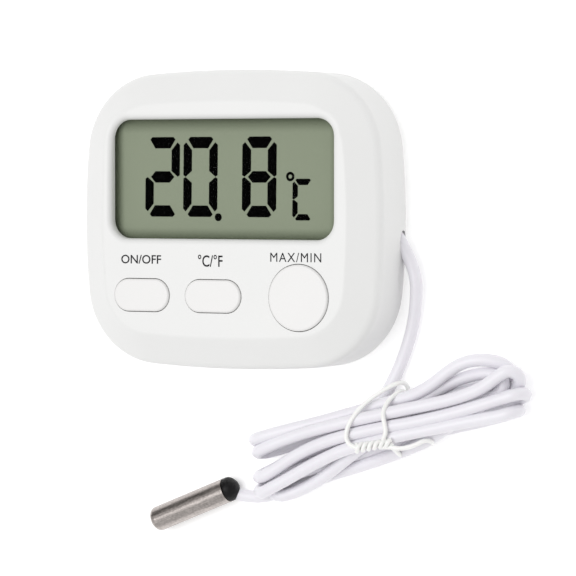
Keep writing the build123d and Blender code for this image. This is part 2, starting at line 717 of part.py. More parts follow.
def chip_parts() -> Part:
    """Small chip capacitors and resistors on the back of the board."""
    length, width, height = CHIP_SIZE
    low_x, low_y = CHIP_START
    parts = None
    for index in range(CHIP_COUNT):
        x = low_x + CHIP_PITCH * index
        chip = block((x, low_y, BOARD_BOTTOM - height), (x + length, low_y + width, BOARD_BOTTOM))
        parts = chip if parts is None else parts + chip
    return parts


def screw(x: float, y: float, seat: float, radius: float, length: float, head_radius: float, head: float) -> Part:
    """A cross-head screw, driven upwards, with its head's flat side at seat."""
    solid = column(x, y, head_radius, seat - head, seat) + column(x, y, radius, seat, seat + length)
    solid = fillet(edges_at(solid, seat - head), head * 0.3)
    for width, depth in ((head_radius * 1.2, head_radius * 0.3), (head_radius * 0.3, head_radius * 1.2)):
        solid -= Pos(x, y, seat - head) * Box(width, depth, head)
    return solid


def cell(x: float, y: float) -> Part:
    """A button cell: a can with a smaller raised cap."""
    can = column(x, y, CELL_RADIUS, CELL_BOTTOM, CELL_TOP - CELL_STEP)
    can = fillet(can.faces().sort_by(Axis.Z)[0].edges(), CELL_EDGE_RADIUS)
    return can + column(x, y, CELL_RADIUS - CELL_CAP_INSET, CELL_TOP - CELL_STEP - 0.1, CELL_TOP)


def leaf_contact(x: float, y: float) -> Part:
    """A bent leaf from the board's back to the top of a cell."""
    low_y, high_y = y - LEAF_HALF_WIDTH, y + LEAF_HALF_WIDTH
    foot = block((x - 2.0, low_y, BOARD_BOTTOM - CONTACT_THICKNESS), (x - 0.4, high_y, BOARD_BOTTOM))
    riser = block((x - 0.6, low_y, CELL_TOP), (x - 0.6 + CONTACT_THICKNESS, high_y, BOARD_BOTTOM))
    pad = block((x - 0.6, low_y, CELL_TOP), (x + 2.4, high_y, CELL_TOP + CONTACT_THICKNESS))
    return foot + riser + pad


def side_contact(x: float, y: float, margin: float = 0.0) -> Part:
    """A strip between a cell's side and the bay wall, up to the board, grown by a margin."""
    half_width = SIDE_CONTACT_HALF_WIDTH + margin
    low_y = y + CELL_RADIUS + SCREW_FIT - margin
    high_y = low_y + CONTACT_THICKNESS + 2 * margin
    return block((x - half_width, low_y, CELL_BOTTOM + 0.8 - margin), (x + half_width, high_y, BOARD_BOTTOM))


# ---- Cord, tie and probe ----


def hank_plane(height: float) -> Location:
    """The hank's own axes: X along it, at a height above the table."""
    return Pos(HANK_CENTRE[0], HANK_CENTRE[1], height) * Rot(0, 0, HANK_ANGLE)


def hank_block() -> Part:
    """The tied hank's outer shape: fanned at both ends, narrow at the tie."""
    plan = make_face(Polyline(*HANK_OUTLINE, close=True))
    plan = fillet(plan.vertices(), HANK_CORNER_RADIUS)
    solid = extrude(hank_plane(0) * plan, HANK_HEIGHT)
    return fillet(solid.faces().sort_by(Axis.Z)[-1].edges(), HANK_EDGE_RADIUS)


def tie_band(thickness: float) -> Part:
    """The tie's loop round the hank's waist, down to the table."""
    height = TIE_HIGH_Y - TIE_LOW_Y
    middle_y = (TIE_HIGH_Y + TIE_LOW_Y) / 2
    high = HANK_HEIGHT + thickness
    outer = Pos(0, 0, high / 2) * Box(TIE_WIDTH, height + 2 * thickness, high)
    outer = fillet(outer.edges().filter_by(Axis.X), HANK_EDGE_RADIUS)
    inner = Pos(0, 0, high / 2) * Box(TIE_WIDTH + 2, height, high - 2 * thickness)
    inner = fillet(inner.edges().filter_by(Axis.X), HANK_EDGE_RADIUS - thickness)
    return hank_plane(0) * Pos(TIE_X, middle_y, 0) * (outer - inner)


def twist_tie() -> Part:
    """The tie: its loop and its two ends twisted together on top."""
    tail = hank_plane(HANK_HEIGHT + TIE_TAIL_RADIUS) * Pos(TIE_TAIL_X, TIE_TAIL_Y, 0) * Rot(0, 90, 0) * Cylinder(
        TIE_TAIL_RADIUS, TIE_TAIL_LENGTH
    )
    return tie_band(TIE_THICKNESS) + tail


def cord_lead(hank: Part) -> Part:
    """The cord from the clamp in the case to the hank."""
    return tube(LEAD_ROUTE, CORD_DIAMETER / 2, "cord_lead") - hank


def cord_tail(hank: Part) -> Part:
    """The short end of the cord from the hank into the probe's potting."""
    route = [along_probe(PROBE_LENGTH + POTTING_PROUD - CORD_IN_POTTING), TAIL_BEND, TAIL_END]
    return tube(route, CORD_DIAMETER / 2, "cord_tail") - hank


def cord_clamp() -> Part:
    """The block that grips the cord just inside the side wall."""
    start, bend = Vector(*LEAD_ROUTE[0]), Vector(*LEAD_ROUTE[1])
    direction = (bend - start).normalized()
    centre = start + direction * 1.9
    angle = math.degrees(math.atan2(direction.Y, direction.X))
    low = WALL
    high = CORD_HEIGHT + CORD_DIAMETER / 2 + 1.0
    clamp = Pos(centre.X, centre.Y, (low + high) / 2) * Rot(0, 0, angle) * Box(2.4, 4.8, high - low)
    return clamp - tube([start - direction * 2, start + direction * 8], CORD_DIAMETER / 2 + 0.02)


def sensor_wires() -> Part:
    """The cord's two cores, bared inside the case and led up to the board."""
    start = Vector(*LEAD_ROUTE[0])
    direction = (Vector(*LEAD_ROUTE[1]) - start).normalized()
    across = Vector(-direction.Y, direction.X, 0)
    cores = None
    for side in (-1, 1):
        first = start + across * (0.55 * side)
        below_pad = first - direction * SENSOR_WIRE_REACH
        pad = below_pad + Vector(0, 0, BOARD_BOTTOM - CORD_HEIGHT)
        route = [tuple(first), tuple(below_pad), tuple(pad)]
        core = tube(route, SENSOR_WIRE_RADIUS) & slab(0, BOARD_BOTTOM)
        cores = core if cores is None else cores + core
    return cores


def probe_cap() -> Part:
    """The drawn steel cap: a closed, rounded tip and an open mouth."""
    cap = probe_rod(0, PROBE_LENGTH, PROBE_RADIUS)
    tip = cap.faces().sort_by(Axis((0, 0, 0), Vector(*along_probe(1)) - Vector(*along_probe(0))))[0]
    cap = fillet(tip.edges(), PROBE_TIP_RADIUS)
    return cap - probe_rod(PROBE_WALL * 2, PROBE_LENGTH, PROBE_RADIUS - PROBE_WALL)


def bead_start() -> float:
    """How far the glass bead is from the probe's tip."""
    return PROBE_WALL * 2 + 1.0


def thermistor_bead() -> Part:
    """The glass bead near the probe's tip."""
    bead = probe_rod(bead_start(), BEAD_LENGTH, BEAD_RADIUS)
    return fillet(bead.edges().filter_by(GeomType.CIRCLE), BEAD_RADIUS * 0.6)


def thermistor_leads() -> Part:
    """The two cores from the bead back to the end of the cord's jacket."""
    cores = None
    start = bead_start() + BEAD_LENGTH
    length = PROBE_LENGTH + POTTING_PROUD - CORD_IN_POTTING - start
    for side in (-1, 1):
        core = probe_frame() * Pos(start + length / 2, 0.5 * side, 0) * Rot(0, 90, 0) * Cylinder(
            SENSOR_WIRE_RADIUS, length
        )
        cores = core if cores is None else cores + core
    return cores


def probe_potting(pieces: list) -> Part:
    """The black resin that fills the cap and stands out of its mouth, round the pieces set in it."""
    low = PROBE_WALL * 2
    filling = probe_rod(low, PROBE_LENGTH - low + 0.2, PROBE_RADIUS - PROBE_WALL)
    collar = probe_rod(PROBE_LENGTH, POTTING_PROUD, PROBE_RADIUS)
    end_edges = collar.edges().sort_by(Axis((0, 0, 0), Vector(*along_probe(1)) - Vector(*along_probe(0))))[-1:]
    potting = filling + fillet(end_edges, POTTING_EDGE_RADIUS)
    for piece in pieces:
        potting -= piece
    return potting


def build_nodes() -> dict:
    """Every node's name and solid."""
    nodes = {
        "front_shell": front_shell(),
        "rear_shell": rear_shell(),
        "window_lens": window_lens(),
        "lcd_front_glass": glass_plate(0, GLASS_TOP, GLASS_THICKNESS),
        "lcd_rear_glass": glass_plate(GLASS_LEDGE, REAR_GLASS_TOP, GLASS_THICKNESS),
        "lcd_reflector": glass_plate(GLASS_LEDGE, REAR_GLASS_BOTTOM, REFLECTOR_THICKNESS),
        "lcd_frame": display_frame(),
        "contact_strip": contact_strip(),
        "main_board": main_board(),
        "controller_blob": controller_blob(),
        "crystal_can": crystal_can(),
        "chip_parts": chip_parts(),
        "battery_door": battery_door(),
        "stand_leg": stand_leg(),
        "stand_pin": stand_pin(),
        "cord_clamp": cord_clamp(),
        "sensor_wires": sensor_wires(),
    }
    for name, (x, plan) in key_shapes().items():
        nodes[f"{name}_keycap"] = keycap(x, plan)
        nodes[f"{name}_dome"] = dome(x)
        nodes[f"{name}_pill"] = pill(x)
    for side, (x, y) in zip(("left", "right"), cell_centres()):
        nodes[f"cell_{side}"] = cell(x, y)
        nodes[f"cell_leaf_{side}"] = leaf_contact(x, y)
        nodes[f"cell_side_contact_{side}"] = side_contact(x, y)
    for side, (x, y) in zip(("left", "right"), CASE_SCREWS):
        nodes[f"case_screw_{side}"] = screw(
            x, y, CASE_SCREW_SEAT, CASE_SCREW_RADIUS, CASE_SCREW_LENGTH, CASE_SCREW_HEAD_RADIUS,
            CASE_SCREW_HEAD_HEIGHT,
        )
    for index, (x, y) in enumerate(BOARD_POSTS, start=1):
        nodes[f"board_screw_{index}"] = screw(
            x, y, BOARD_BOTTOM, BOARD_SCREW_RADIUS, BOARD_SCREW_LENGTH, BOARD_SCREW_HEAD_RADIUS,
            BOARD_SCREW_HEAD_HEIGHT,
        )
    tie = twist_tie()
    hank = hank_block() - tie
    tail = cord_tail(hank)
    nodes["cord_hank"] = hank
    nodes["twist_tie"] = tie
    nodes["cord_lead"] = cord_lead(hank)
    nodes["cord_tail"] = tail
    nodes["probe_cap"] = probe_cap()
    nodes["thermistor_bead"] = thermistor_bead()
    nodes["thermistor_leads"] = thermistor_leads() - tail
    nodes["probe_potting"] = probe_potting([tail, nodes["thermistor_bead"], nodes["thermistor_leads"]])
    return nodes


def main() -> None:
    os.makedirs("parts", exist_ok=True)
    for name, solid in build_nodes().items():
        export_step(solid, f"parts/{name}.step")
        print(name, len(solid.solids()), round(solid.volume, 1))


if __name__ == "__main__":
    main()
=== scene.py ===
"""Looks for the thermometer with a remote probe: finishes, display, labels, cord, tie and studio.

Millimetres are used for every size below, and turned into Blender's metres by one constant.
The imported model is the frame: +Z out of the display, +Y towards the case's top, +X towards the cord.
"""

from __future__ import annotations

import json
import logging
import math
from dataclasses import dataclass, field
from enum import Enum
from typing import Any, Iterable, Sequence

import bmesh
import bpy
from mathutils import Matrix, Vector, noise

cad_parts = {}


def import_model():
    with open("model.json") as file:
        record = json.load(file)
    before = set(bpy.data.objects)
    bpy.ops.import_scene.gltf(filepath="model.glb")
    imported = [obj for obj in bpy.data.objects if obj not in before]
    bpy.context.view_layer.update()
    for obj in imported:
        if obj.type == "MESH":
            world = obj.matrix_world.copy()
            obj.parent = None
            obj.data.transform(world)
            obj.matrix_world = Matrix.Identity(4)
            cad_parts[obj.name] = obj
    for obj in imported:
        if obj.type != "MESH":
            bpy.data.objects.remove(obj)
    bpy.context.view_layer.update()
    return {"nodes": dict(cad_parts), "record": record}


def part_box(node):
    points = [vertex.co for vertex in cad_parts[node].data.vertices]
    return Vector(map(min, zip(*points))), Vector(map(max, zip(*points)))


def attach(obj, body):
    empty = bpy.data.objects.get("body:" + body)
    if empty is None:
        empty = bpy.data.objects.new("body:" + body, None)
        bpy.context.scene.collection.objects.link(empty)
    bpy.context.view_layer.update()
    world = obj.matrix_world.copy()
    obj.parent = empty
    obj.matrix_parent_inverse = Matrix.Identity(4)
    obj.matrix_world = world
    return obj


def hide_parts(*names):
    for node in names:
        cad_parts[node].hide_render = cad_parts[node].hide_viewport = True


LOG = logging.getLogger("thermometer")
MM = 0.001

Point = tuple[float, float, float]
Plan = tuple[float, float]


# ---- Small helpers ----


def linear(hue: str) -> tuple[float, float, float, float]:
    """Turns an sRGB hex colour into linear values.

    Args:
        hue: six hex digits, such as "f2f1ee".

    Returns:
        Linear red, green, blue and an alpha of one.
    """
    parts = [int(hue[i : i + 2], 16) / 255 for i in (0, 2, 4)]
    values = [c / 12.92 if c <= 0.04045 else ((c + 0.055) / 1.055) ** 2.4 for c in parts]
    return values[0], values[1], values[2], 1.0


def add_node(tree: bpy.types.NodeTree, kind: str, inputs: dict | None = None, **settings: Any) -> bpy.types.Node:
    """Adds a node, sets its properties, and sets or links its inputs.

    Args:
        tree: the node tree to add to.
        kind: the node's type name without "ShaderNode".
        inputs: input name or index to a constant or to an output socket.
        **settings: the node's own properties.

    Returns:
        The new node.
    """
    node = tree.nodes.new("ShaderNode" + kind)
    for key, value in settings.items():
        setattr(node, key, value)
    for key, value in (inputs or {}).items():
        if isinstance(value, bpy.types.NodeSocket):
            tree.links.new(value, node.inputs[key])
        else:
            node.inputs[key].default_value = value
    return node


def new_material(name: str) -> tuple[bpy.types.Material, bpy.types.NodeTree, bpy.types.NodeSocket]:
    """Makes an empty node material.

    Args:
        name: the material's name.

    Returns:
        The material, its tree, and the surface input of its output node.
    """
    material = bpy.data.materials.new(name)
    material.use_nodes = True
    tree = material.node_tree
    tree.nodes.clear()
    output = add_node(tree, "OutputMaterial")
    return material, tree, output.inputs["Surface"]


def varied(tree: bpy.types.NodeTree, hue: str, tone: bpy.types.NodeSocket) -> bpy.types.NodeSocket:
    """One colour whose brightness varies over the surface.

    Args:
        tree: the node tree to add to.
        hue: the colour, as sRGB hex.
        tone: what to multiply it by.

    Returns:
        The colour's output socket.
    """
    base = add_node(tree, "RGB")
    base.outputs[0].default_value = linear(hue)
    return add_node(tree, "VectorMath", {0: base.outputs[0], "Scale": tone}, operation="SCALE").outputs[0]


def per_metre(size: float) -> float:
    """The scale that gives a pattern cells of this size in millimetres."""
    return 1.0 / (size * MM)


def dress(thing: bpy.types.Object, material: bpy.types.Material) -> None:
    """Puts one material in every slot of a mesh or curve."""
    slots = thing.data.materials
    if not slots:
        slots.append(material)
    for index in range(len(slots)):
        slots[index] = material


def finish_shape(name: str, form: bmesh.types.BMesh, smooth: bool = True) -> bpy.types.Object:
    """Turns a bmesh into a linked object.

    Args:
        name: the object's name.
        form: the bmesh, which is freed.
        smooth: whether its faces shade smoothly.

    Returns:
        The new object.
    """
    bmesh.ops.recalc_face_normals(form, faces=form.faces)
    data = bpy.data.meshes.new(name)
    form.to_mesh(data)
    form.free()
    for face in data.polygons:
        face.use_smooth = smooth
    thing = bpy.data.objects.new(name, data)
    bpy.context.scene.collection.objects.link(thing)
    return thing


def rectangle(name: str, width: float, height: float, low: float = 0.0) -> bpy.types.Object:
    """A flat rectangle about the origin.

    Args:
        name: the object's name.
        width: its size along X, in millimetres.
        height: its size along Y.
        low: its place on Z.

    Returns:
        The new object.
    """
    form = bmesh.new()
    corners = ((-1, -1), (1, -1), (1, 1), (-1, 1))
    form.faces.new([form.verts.new((width / 2 * MM * x, height / 2 * MM * y, low * MM)) for x, y in corners])
    return finish_shape(name, form, smooth=False)


def spline_object(name: str, points: Sequence[Point], radius: float, sides: int = 10) -> bpy.types.Object:
    """A round cord or wire along one smooth open NURBS spline.

    Args:
        name: the object's name.
        points: control points in millimetres.
        radius: its radius in millimetres.
        sides: half the number of sides round it.

    Returns:
        The curve object.
    """
    data = bpy.data.curves.new(name, "CURVE")
    data.dimensions = "3D"
    data.bevel_depth = radius * MM
    data.bevel_resolution = sides
    data.use_fill_caps = True
    data.resolution_u = 12
    spline = data.splines.new("NURBS")
    spline.points.add(len(points) - 1)
    for target, (x, y, z) in zip(spline.points, points):
        target.co = (x * MM, y * MM, z * MM, 1.0)
    spline.order_u = 3
    spline.use_endpoint_u = True
    spline.use_smooth = True
    thing = bpy.data.objects.new(name, data)
    bpy.context.scene.collection.objects.link(thing)
    return thing


# ---- Finishes ----


@dataclass(frozen=True)
class MouldedPlastic:
    """Injection-moulded plastic with a fine spark-eroded grain, which keeps its gloss soft."""

    name: str
    hue: str
    roughness: float = 0.46
    grain: float = 0.55  # real grain is nearer 0.1 mm; this is the finest that shows
    relief: float = 0.006
    mottle: float = 0.012
    mottle_size: float = 9.0
    specular: float = 0.5
    index: float = 1.53

    def material(self) -> bpy.types.Material:
        """Builds the material: grain as bump, and a faint unevenness in tone and gloss."""
        material, tree, surface = new_material(self.name)
        place = add_node(tree, "TexCoord").outputs["Object"]
        cloud = add_node(tree, "TexNoise", {"Vector": place, "Scale": per_metre(self.mottle_size), "Detail": 3.0})
        tone = add_node(
            tree,
            "MapRange",
            {"Value": cloud.outputs["Fac"], "To Min": 1 - self.mottle, "To Max": 1 + self.mottle},
        )
        shade = varied(tree, self.hue, tone.outputs[0])
        grain = add_node(tree, "TexNoise", {"Vector": place, "Scale": per_metre(self.grain), "Detail": 2.0})
        gloss = add_node(
            tree,
            "MapRange",
            {"Value": grain.outputs["Fac"], "To Min": self.roughness - 0.05, "To Max": self.roughness + 0.05},
        )
        bump = add_node(
            tree, "Bump", {"Height": grain.outputs["Fac"], "Distance": self.relief * MM, "Strength": 1.0}
        )
        shader = add_node(
            tree,
            "BsdfPrincipled",
            {
                "Base Color": shade,
                "Roughness": gloss.outputs[0],
                "Normal": bump.outputs[0],
                "IOR": self.index,
                "Specular IOR Level": self.specular,
            },
        )
        tree.links.new(shader.outputs[0], surface)
        return material


@dataclass(frozen=True)
class ExtrudedVinyl:
    """Soft PVC jacket drawn through a die: smooth, a little waxy, with faint unevenness of tone."""

    name: str
    hue: str
    shade_hue: str
    roughness: float = 0.34
    ripple: float = 1.6
    relief: float = 0.02
    cloud_size: float = 6.0
    glow_depth: float = 0.4  # how far light soaks in

    def material(self) -> bpy.types.Material:
        """Builds the material: two close whites in clouds, a slow ripple as bump, and a waxy sheen."""
        material, tree, surface = new_material(self.name)
        place = add_node(tree, "TexCoord").outputs["Object"]
        cloud = add_node(tree, "TexNoise", {"Vector": place, "Scale": per_metre(self.cloud_size), "Detail": 3.0})
        tone = add_node(
            tree, "Mix", {0: cloud.outputs["Fac"], 6: linear(self.hue), 7: linear(self.shade_hue)}, data_type="RGBA"
        )
        ripple = add_node(tree, "TexNoise", {"Vector": place, "Scale": per_metre(self.ripple), "Detail": 1.0})
        bump = add_node(
            tree, "Bump", {"Height": ripple.outputs["Fac"], "Distance": self.relief * MM, "Strength": 1.0}
        )
        shader = add_node(
            tree,
            "BsdfPrincipled",
            {
                "Base Color": tone.outputs[2],
                "Roughness": self.roughness,
                "Normal": bump.outputs[0],
                "IOR": 1.52,
                "Subsurface Weight": 0.25,
                "Subsurface Radius": (1.0, 0.9, 0.95),
                "Subsurface Scale": self.glow_depth * MM,
            },
        )
        tree.links.new(shader.outputs[0], surface)
        return material


@dataclass(frozen=True)
class BrushedMetal:
    """Metal finished with a belt or drawn: fine scratches run one way and pull the highlights along."""

    name: str
    hue: str
    roughness: float = 0.3
    along: tuple[float, float, float] = (1.0, 0.0, 0.0)
    scratch_width: float = 0.25  # real scratches are under 0.05 mm; this is the finest that shows
    scratch_length: float = 6.0
    relief: float = 0.004
    speckle: float = 0.12
    speckle_size: float = 0.45

    def material(self) -> bpy.types.Material:
        """Builds the material: stretched noise for scratches, and bright and dull specks."""
        material, tree, surface = new_material(self.name)
        place = add_node(tree, "TexCoord").outputs["Object"]
        heading = math.atan2(self.along[1], self.along[0])
        turned = add_node(
            tree,
            "VectorRotate",
            {"Vector": place, "Axis": (0.0, 0.0, 1.0), "Angle": -heading},
            rotation_type="AXIS_ANGLE",
        )
        stretch = (per_metre(self.scratch_length), per_metre(self.scratch_width), per_metre(self.scratch_width))
        scaled = add_node(tree, "VectorMath", {0: turned.outputs[0], 1: stretch}, operation="MULTIPLY")
        scratch = add_node(tree, "TexNoise", {"Vector": scaled.outputs[0], "Scale": 1.0, "Detail": 3.0})
        speck = add_node(tree, "TexNoise", {"Vector": place, "Scale": per_metre(self.speckle_size), "Detail": 3.0})
        mixed = add_node(tree, "Math", {0: scratch.outputs["Fac"], 1: speck.outputs["Fac"]}, operation="ADD")
        tone = add_node(
            tree,
            "MapRange",
            {
                "Value": mixed.outputs[0],
                "From Min": 0.6,
                "From Max": 1.4,
                "To Min": 1 - self.speckle,
                "To Max": 1 + self.speckle,
            },
        )
        shade = varied(tree, self.hue, tone.outputs[0])
        gloss = add_node(
            tree,
            "MapRange",
            {"Value": scratch.outputs["Fac"], "To Min": self.roughness - 0.08, "To Max": self.roughness + 0.08},
        )
        bump = add_node(
            tree, "Bump", {"Height": scratch.outputs["Fac"], "Distance": self.relief * MM, "Strength": 1.0}
        )
        shader = add_node(
            tree,
            "BsdfPrincipled",
            {
                "Base Color": shade,
                "Metallic": 1.0,
                "Roughness": gloss.outputs[0],
                "Normal": bump.outputs[0],
            },
        )
        tree.links.new(shader.outputs[0], surface)
        return material


@dataclass(frozen=True)
class CoatedAcrylic:
    """Clear acrylic with a low-glare coat: nearly invisible, with a faint sheen at low angles."""

    name: str
    index: float = 1.1
    roughness: float = 0.05
    wave_size: float = 14.0
    wave_depth: float = 0.01

    def material(self) -> bpy.types.Material:
        """Builds the material: a clear layer whose outer side has a coat that shows at low angles."""
        material, tree, surface = new_material(self.name)
        place = add_node(tree, "TexCoord").outputs["Object"]
        wave = add_node(tree, "TexNoise", {"Vector": place, "Scale": per_metre(self.wave_size), "Detail": 1.0})
        bump = add_node(
            tree, "Bump", {"Height": wave.outputs["Fac"], "Distance": self.wave_depth * MM, "Strength": 1.0}
        )
        angle = add_node(tree, "Fresnel", {"IOR": self.index, "Normal": bump.outputs[0]})
        inside = add_node(tree, "NewGeometry").outputs["Backfacing"]
        outside = add_node(tree, "Math", {0: 1.0, 1: inside}, operation="SUBTRACT")
        share = add_node(tree, "Math", {0: angle.outputs[0], 1: outside.outputs[0]}, operation="MULTIPLY")
        clear = add_node(tree, "BsdfTransparent", {"Color": (1.0, 1.0, 1.0, 1.0)})
        sheen = add_node(tree, "BsdfGlossy", {"Roughness": self.roughness, "Normal": bump.outputs[0]})
        mix = add_node(tree, "MixShader", {0: share.outputs[0], 1: clear.outputs[0], 2: sheen.outputs[0]})
        tree.links.new(mix.outputs[0], surface)
        material.surface_render_method = "BLENDED"
        return material


@dataclass(frozen=True)
class Polariser:
    """The display's grey-green polarising film: even in the middle, with painted shade darkening it towards each
    side of the window, where the case's rim casts shadow.
    """

    name: str
    middle_hue: str
    # The colour of the painted shade at the window's edge, then how far that painted shade reaches in from each
    # side.
    painted_shade_hue: str
    window_low: Plan
    window_high: Plan
    painted_shade_width_left: float = 1.8
    painted_shade_width_top: float = 3.0
    painted_shade_width_right: float = 2.2
    painted_shade_width_bottom: float = 2.4
    patch_size: float = 0.5
    patch: float = 0.06

    def material(self) -> bpy.types.Material:
        """Builds the material: distance from each side of the window sets the painted shade, which is darkest at the
        window's edge.
        """
        material, tree, surface = new_material(self.name)
        place = add_node(tree, "TexCoord").outputs["Object"]
        split = add_node(tree, "SeparateXYZ", {0: place})
        sides = (
            ("X", self.window_low[0], self.painted_shade_width_left),
            ("X", self.window_high[0], -self.painted_shade_width_right),
            ("Y", self.window_low[1], self.painted_shade_width_bottom),
            ("Y", self.window_high[1], -self.painted_shade_width_top),
        )
        # Each ramp fades the painted shade out away from one side. Their product is one wherever no painted shade
        # falls.
        light = None
        for axis, edge, fringe in sides:
            ramp = add_node(
                tree,
                "MapRange",
                {"Value": split.outputs[axis], "From Min": edge * MM, "From Max": (edge + fringe) * MM},
                interpolation_type="SMOOTHSTEP",
            )
            if light is None:
                light = ramp.outputs[0]
            else:
                light = add_node(tree, "Math", {0: light, 1: ramp.outputs[0]}, operation="MULTIPLY").outputs[0]
        cloud = add_node(tree, "TexNoise", {"Vector": place, "Scale": per_metre(self.patch_size), "Detail": 2.0})
        patch = add_node(
            tree, "MapRange", {"Value": cloud.outputs["Fac"], "To Min": -self.patch, "To Max": self.patch}
        )
        amount = add_node(tree, "Math", {0: light, 1: patch.outputs[0]}, operation="ADD", use_clamp=True)
        tone = add_node(
            tree,
            "Mix",
            {0: amount.outputs[0], 6: linear(self.painted_shade_hue), 7: linear(self.middle_hue)},
            data_type="RGBA",
        )
        shader = add_node(
            tree,
            "BsdfPrincipled",
            {"Base Color": tone.outputs[2], "Roughness": 0.6, "IOR": 1.3, "Specular IOR Level": 0.1},
        )
        tree.links.new(shader.outputs[0], surface)
        return material


@dataclass(frozen=True)
class PrintedInk:
    """Pad-printed or liquid-crystal black: matt, very thin, with slightly uneven cover."""

    name: str
    hue: str
    roughness: float = 0.7
    uneven: float = 0.25
    cover_size: float = 0.5

    def material(self) -> bpy.types.Material:
        """Builds the material: the ink's cover varies a little from place to place."""
        material, tree, surface = new_material(self.name)
        place = add_node(tree, "TexCoord").outputs["Object"]
        cover = add_node(tree, "TexNoise", {"Vector": place, "Scale": per_metre(self.cover_size), "Detail": 2.0})
        tone = add_node(
            tree,
            "MapRange",
            {"Value": cover.outputs["Fac"], "To Min": 1 - self.uneven, "To Max": 1 + self.uneven},
        )
        shade = varied(tree, self.hue, tone.outputs[0])
        shader = add_node(
            tree,
            "BsdfPrincipled",
            {"Base Color": shade, "Roughness": self.roughness, "IOR": 1.45, "Specular IOR Level": 0.0},
        )
        tree.links.new(shader.outputs[0], surface)
        return material


@dataclass(frozen=True)
class CastResin:
    """Epoxy poured and left to set: black, lumpy, with wet-looking high spots."""

    name: str
    hue: str
    roughness: float = 0.42
    lump: float = 0.7
    relief: float = 0.18
    specular: float = 0.22

    def material(self) -> bpy.types.Material:
        """Builds the material: lumps as bump, and gloss that changes over them."""
        material, tree, surface = new_material(self.name)
        place = add_node(tree, "TexCoord").outputs["Object"]
        lump = add_node(tree, "TexNoise", {"Vector": place, "Scale": per_metre(self.lump), "Detail": 4.0})
        gloss = add_node(
            tree,
            "MapRange",
            {"Value": lump.outputs["Fac"], "To Min": self.roughness - 0.15, "To Max": self.roughness + 0.2},
        )
        bump = add_node(tree, "Bump", {"Height": lump.outputs["Fac"], "Distance": self.relief * MM, "Strength": 0.8})
        shader = add_node(
            tree,
            "BsdfPrincipled",
            {
                "Base Color": linear(self.hue),
                "Roughness": gloss.outputs[0],
                "Normal": bump.outputs[0],
                "IOR": 1.55,
                "Specular IOR Level": self.specular,
            },
        )
        tree.links.new(shader.outputs[0], surface)
        return material


@dataclass(frozen=True)
class SolderMask:
    """A fibreglass board under green lacquer, with copper tracks showing through as lighter lines."""

    name: str
    hue: str
    track_hue: str
    track_pitch: float = 1.8
    weave_size: float = 0.4
    weave_depth: float = 0.02

    def material(self) -> bpy.types.Material:
        """Builds the material: bands in a stepped maze stand for the tracks."""
        material, tree, surface = new_material(self.name)
        place = add_node(tree, "TexCoord").outputs["Object"]
        bricks = add_node(
            tree,
            "TexBrick",
            {
                "Vector": place,
                "Scale": per_metre(self.track_pitch * 4),
                "Color1": linear(self.hue),
                "Color2": linear(self.hue),
                "Mortar": linear(self.track_hue),
                "Mortar Size": 0.04,
                "Row Height": 0.25,
                "Brick Width": 0.9,
            },
        )
        weave = add_node(tree, "TexNoise", {"Vector": place, "Scale": per_metre(self.weave_size), "Detail": 2.0})
        bump = add_node(
            tree, "Bump", {"Height": weave.outputs["Fac"], "Distance": self.weave_depth * MM, "Strength": 1.0}
        )
        shader = add_node(
            tree,
            "BsdfPrincipled",
            {"Base Color": bricks.outputs["Color"], "Roughness": 0.35, "Normal": bump.outputs[0], "IOR": 1.5},
        )
        tree.links.new(shader.outputs[0], surface)
        return material


@dataclass(frozen=True)
class LayeredRubber:
    """Striped contact rubber: conducting black layers between pink insulating ones."""

    name: str
    dark_hue: str
    light_hue: str
    pitch: float = 2.262  # real layers are 0.1 mm apart; they are this coarse to show in a cut-away view

    def material(self) -> bpy.types.Material:
        """Builds the material: bands across the strip's length."""
        material, tree, surface = new_material(self.name)
        place = add_node(tree, "TexCoord").outputs["Object"]
        bands = add_node(
            tree,
            "TexWave",
            # At a scale of one, the wave texture's bands are a twentieth of a full turn apart.
            {"Vector": place, "Scale": per_metre(self.pitch) * math.tau / 20, "Distortion": 0.0},
            bands_direction="X",
        )
        tone = add_node(
            tree,
            "Mix",
            {0: bands.outputs["Fac"], 6: linear(self.dark_hue), 7: linear(self.light_hue)},
            data_type="RGBA",
        )
        shader = add_node(
            tree, "BsdfPrincipled", {"Base Color": tone.outputs[2], "Roughness": 0.7, "IOR": 1.41}
        )
        tree.links.new(shader.outputs[0], surface)
        return material


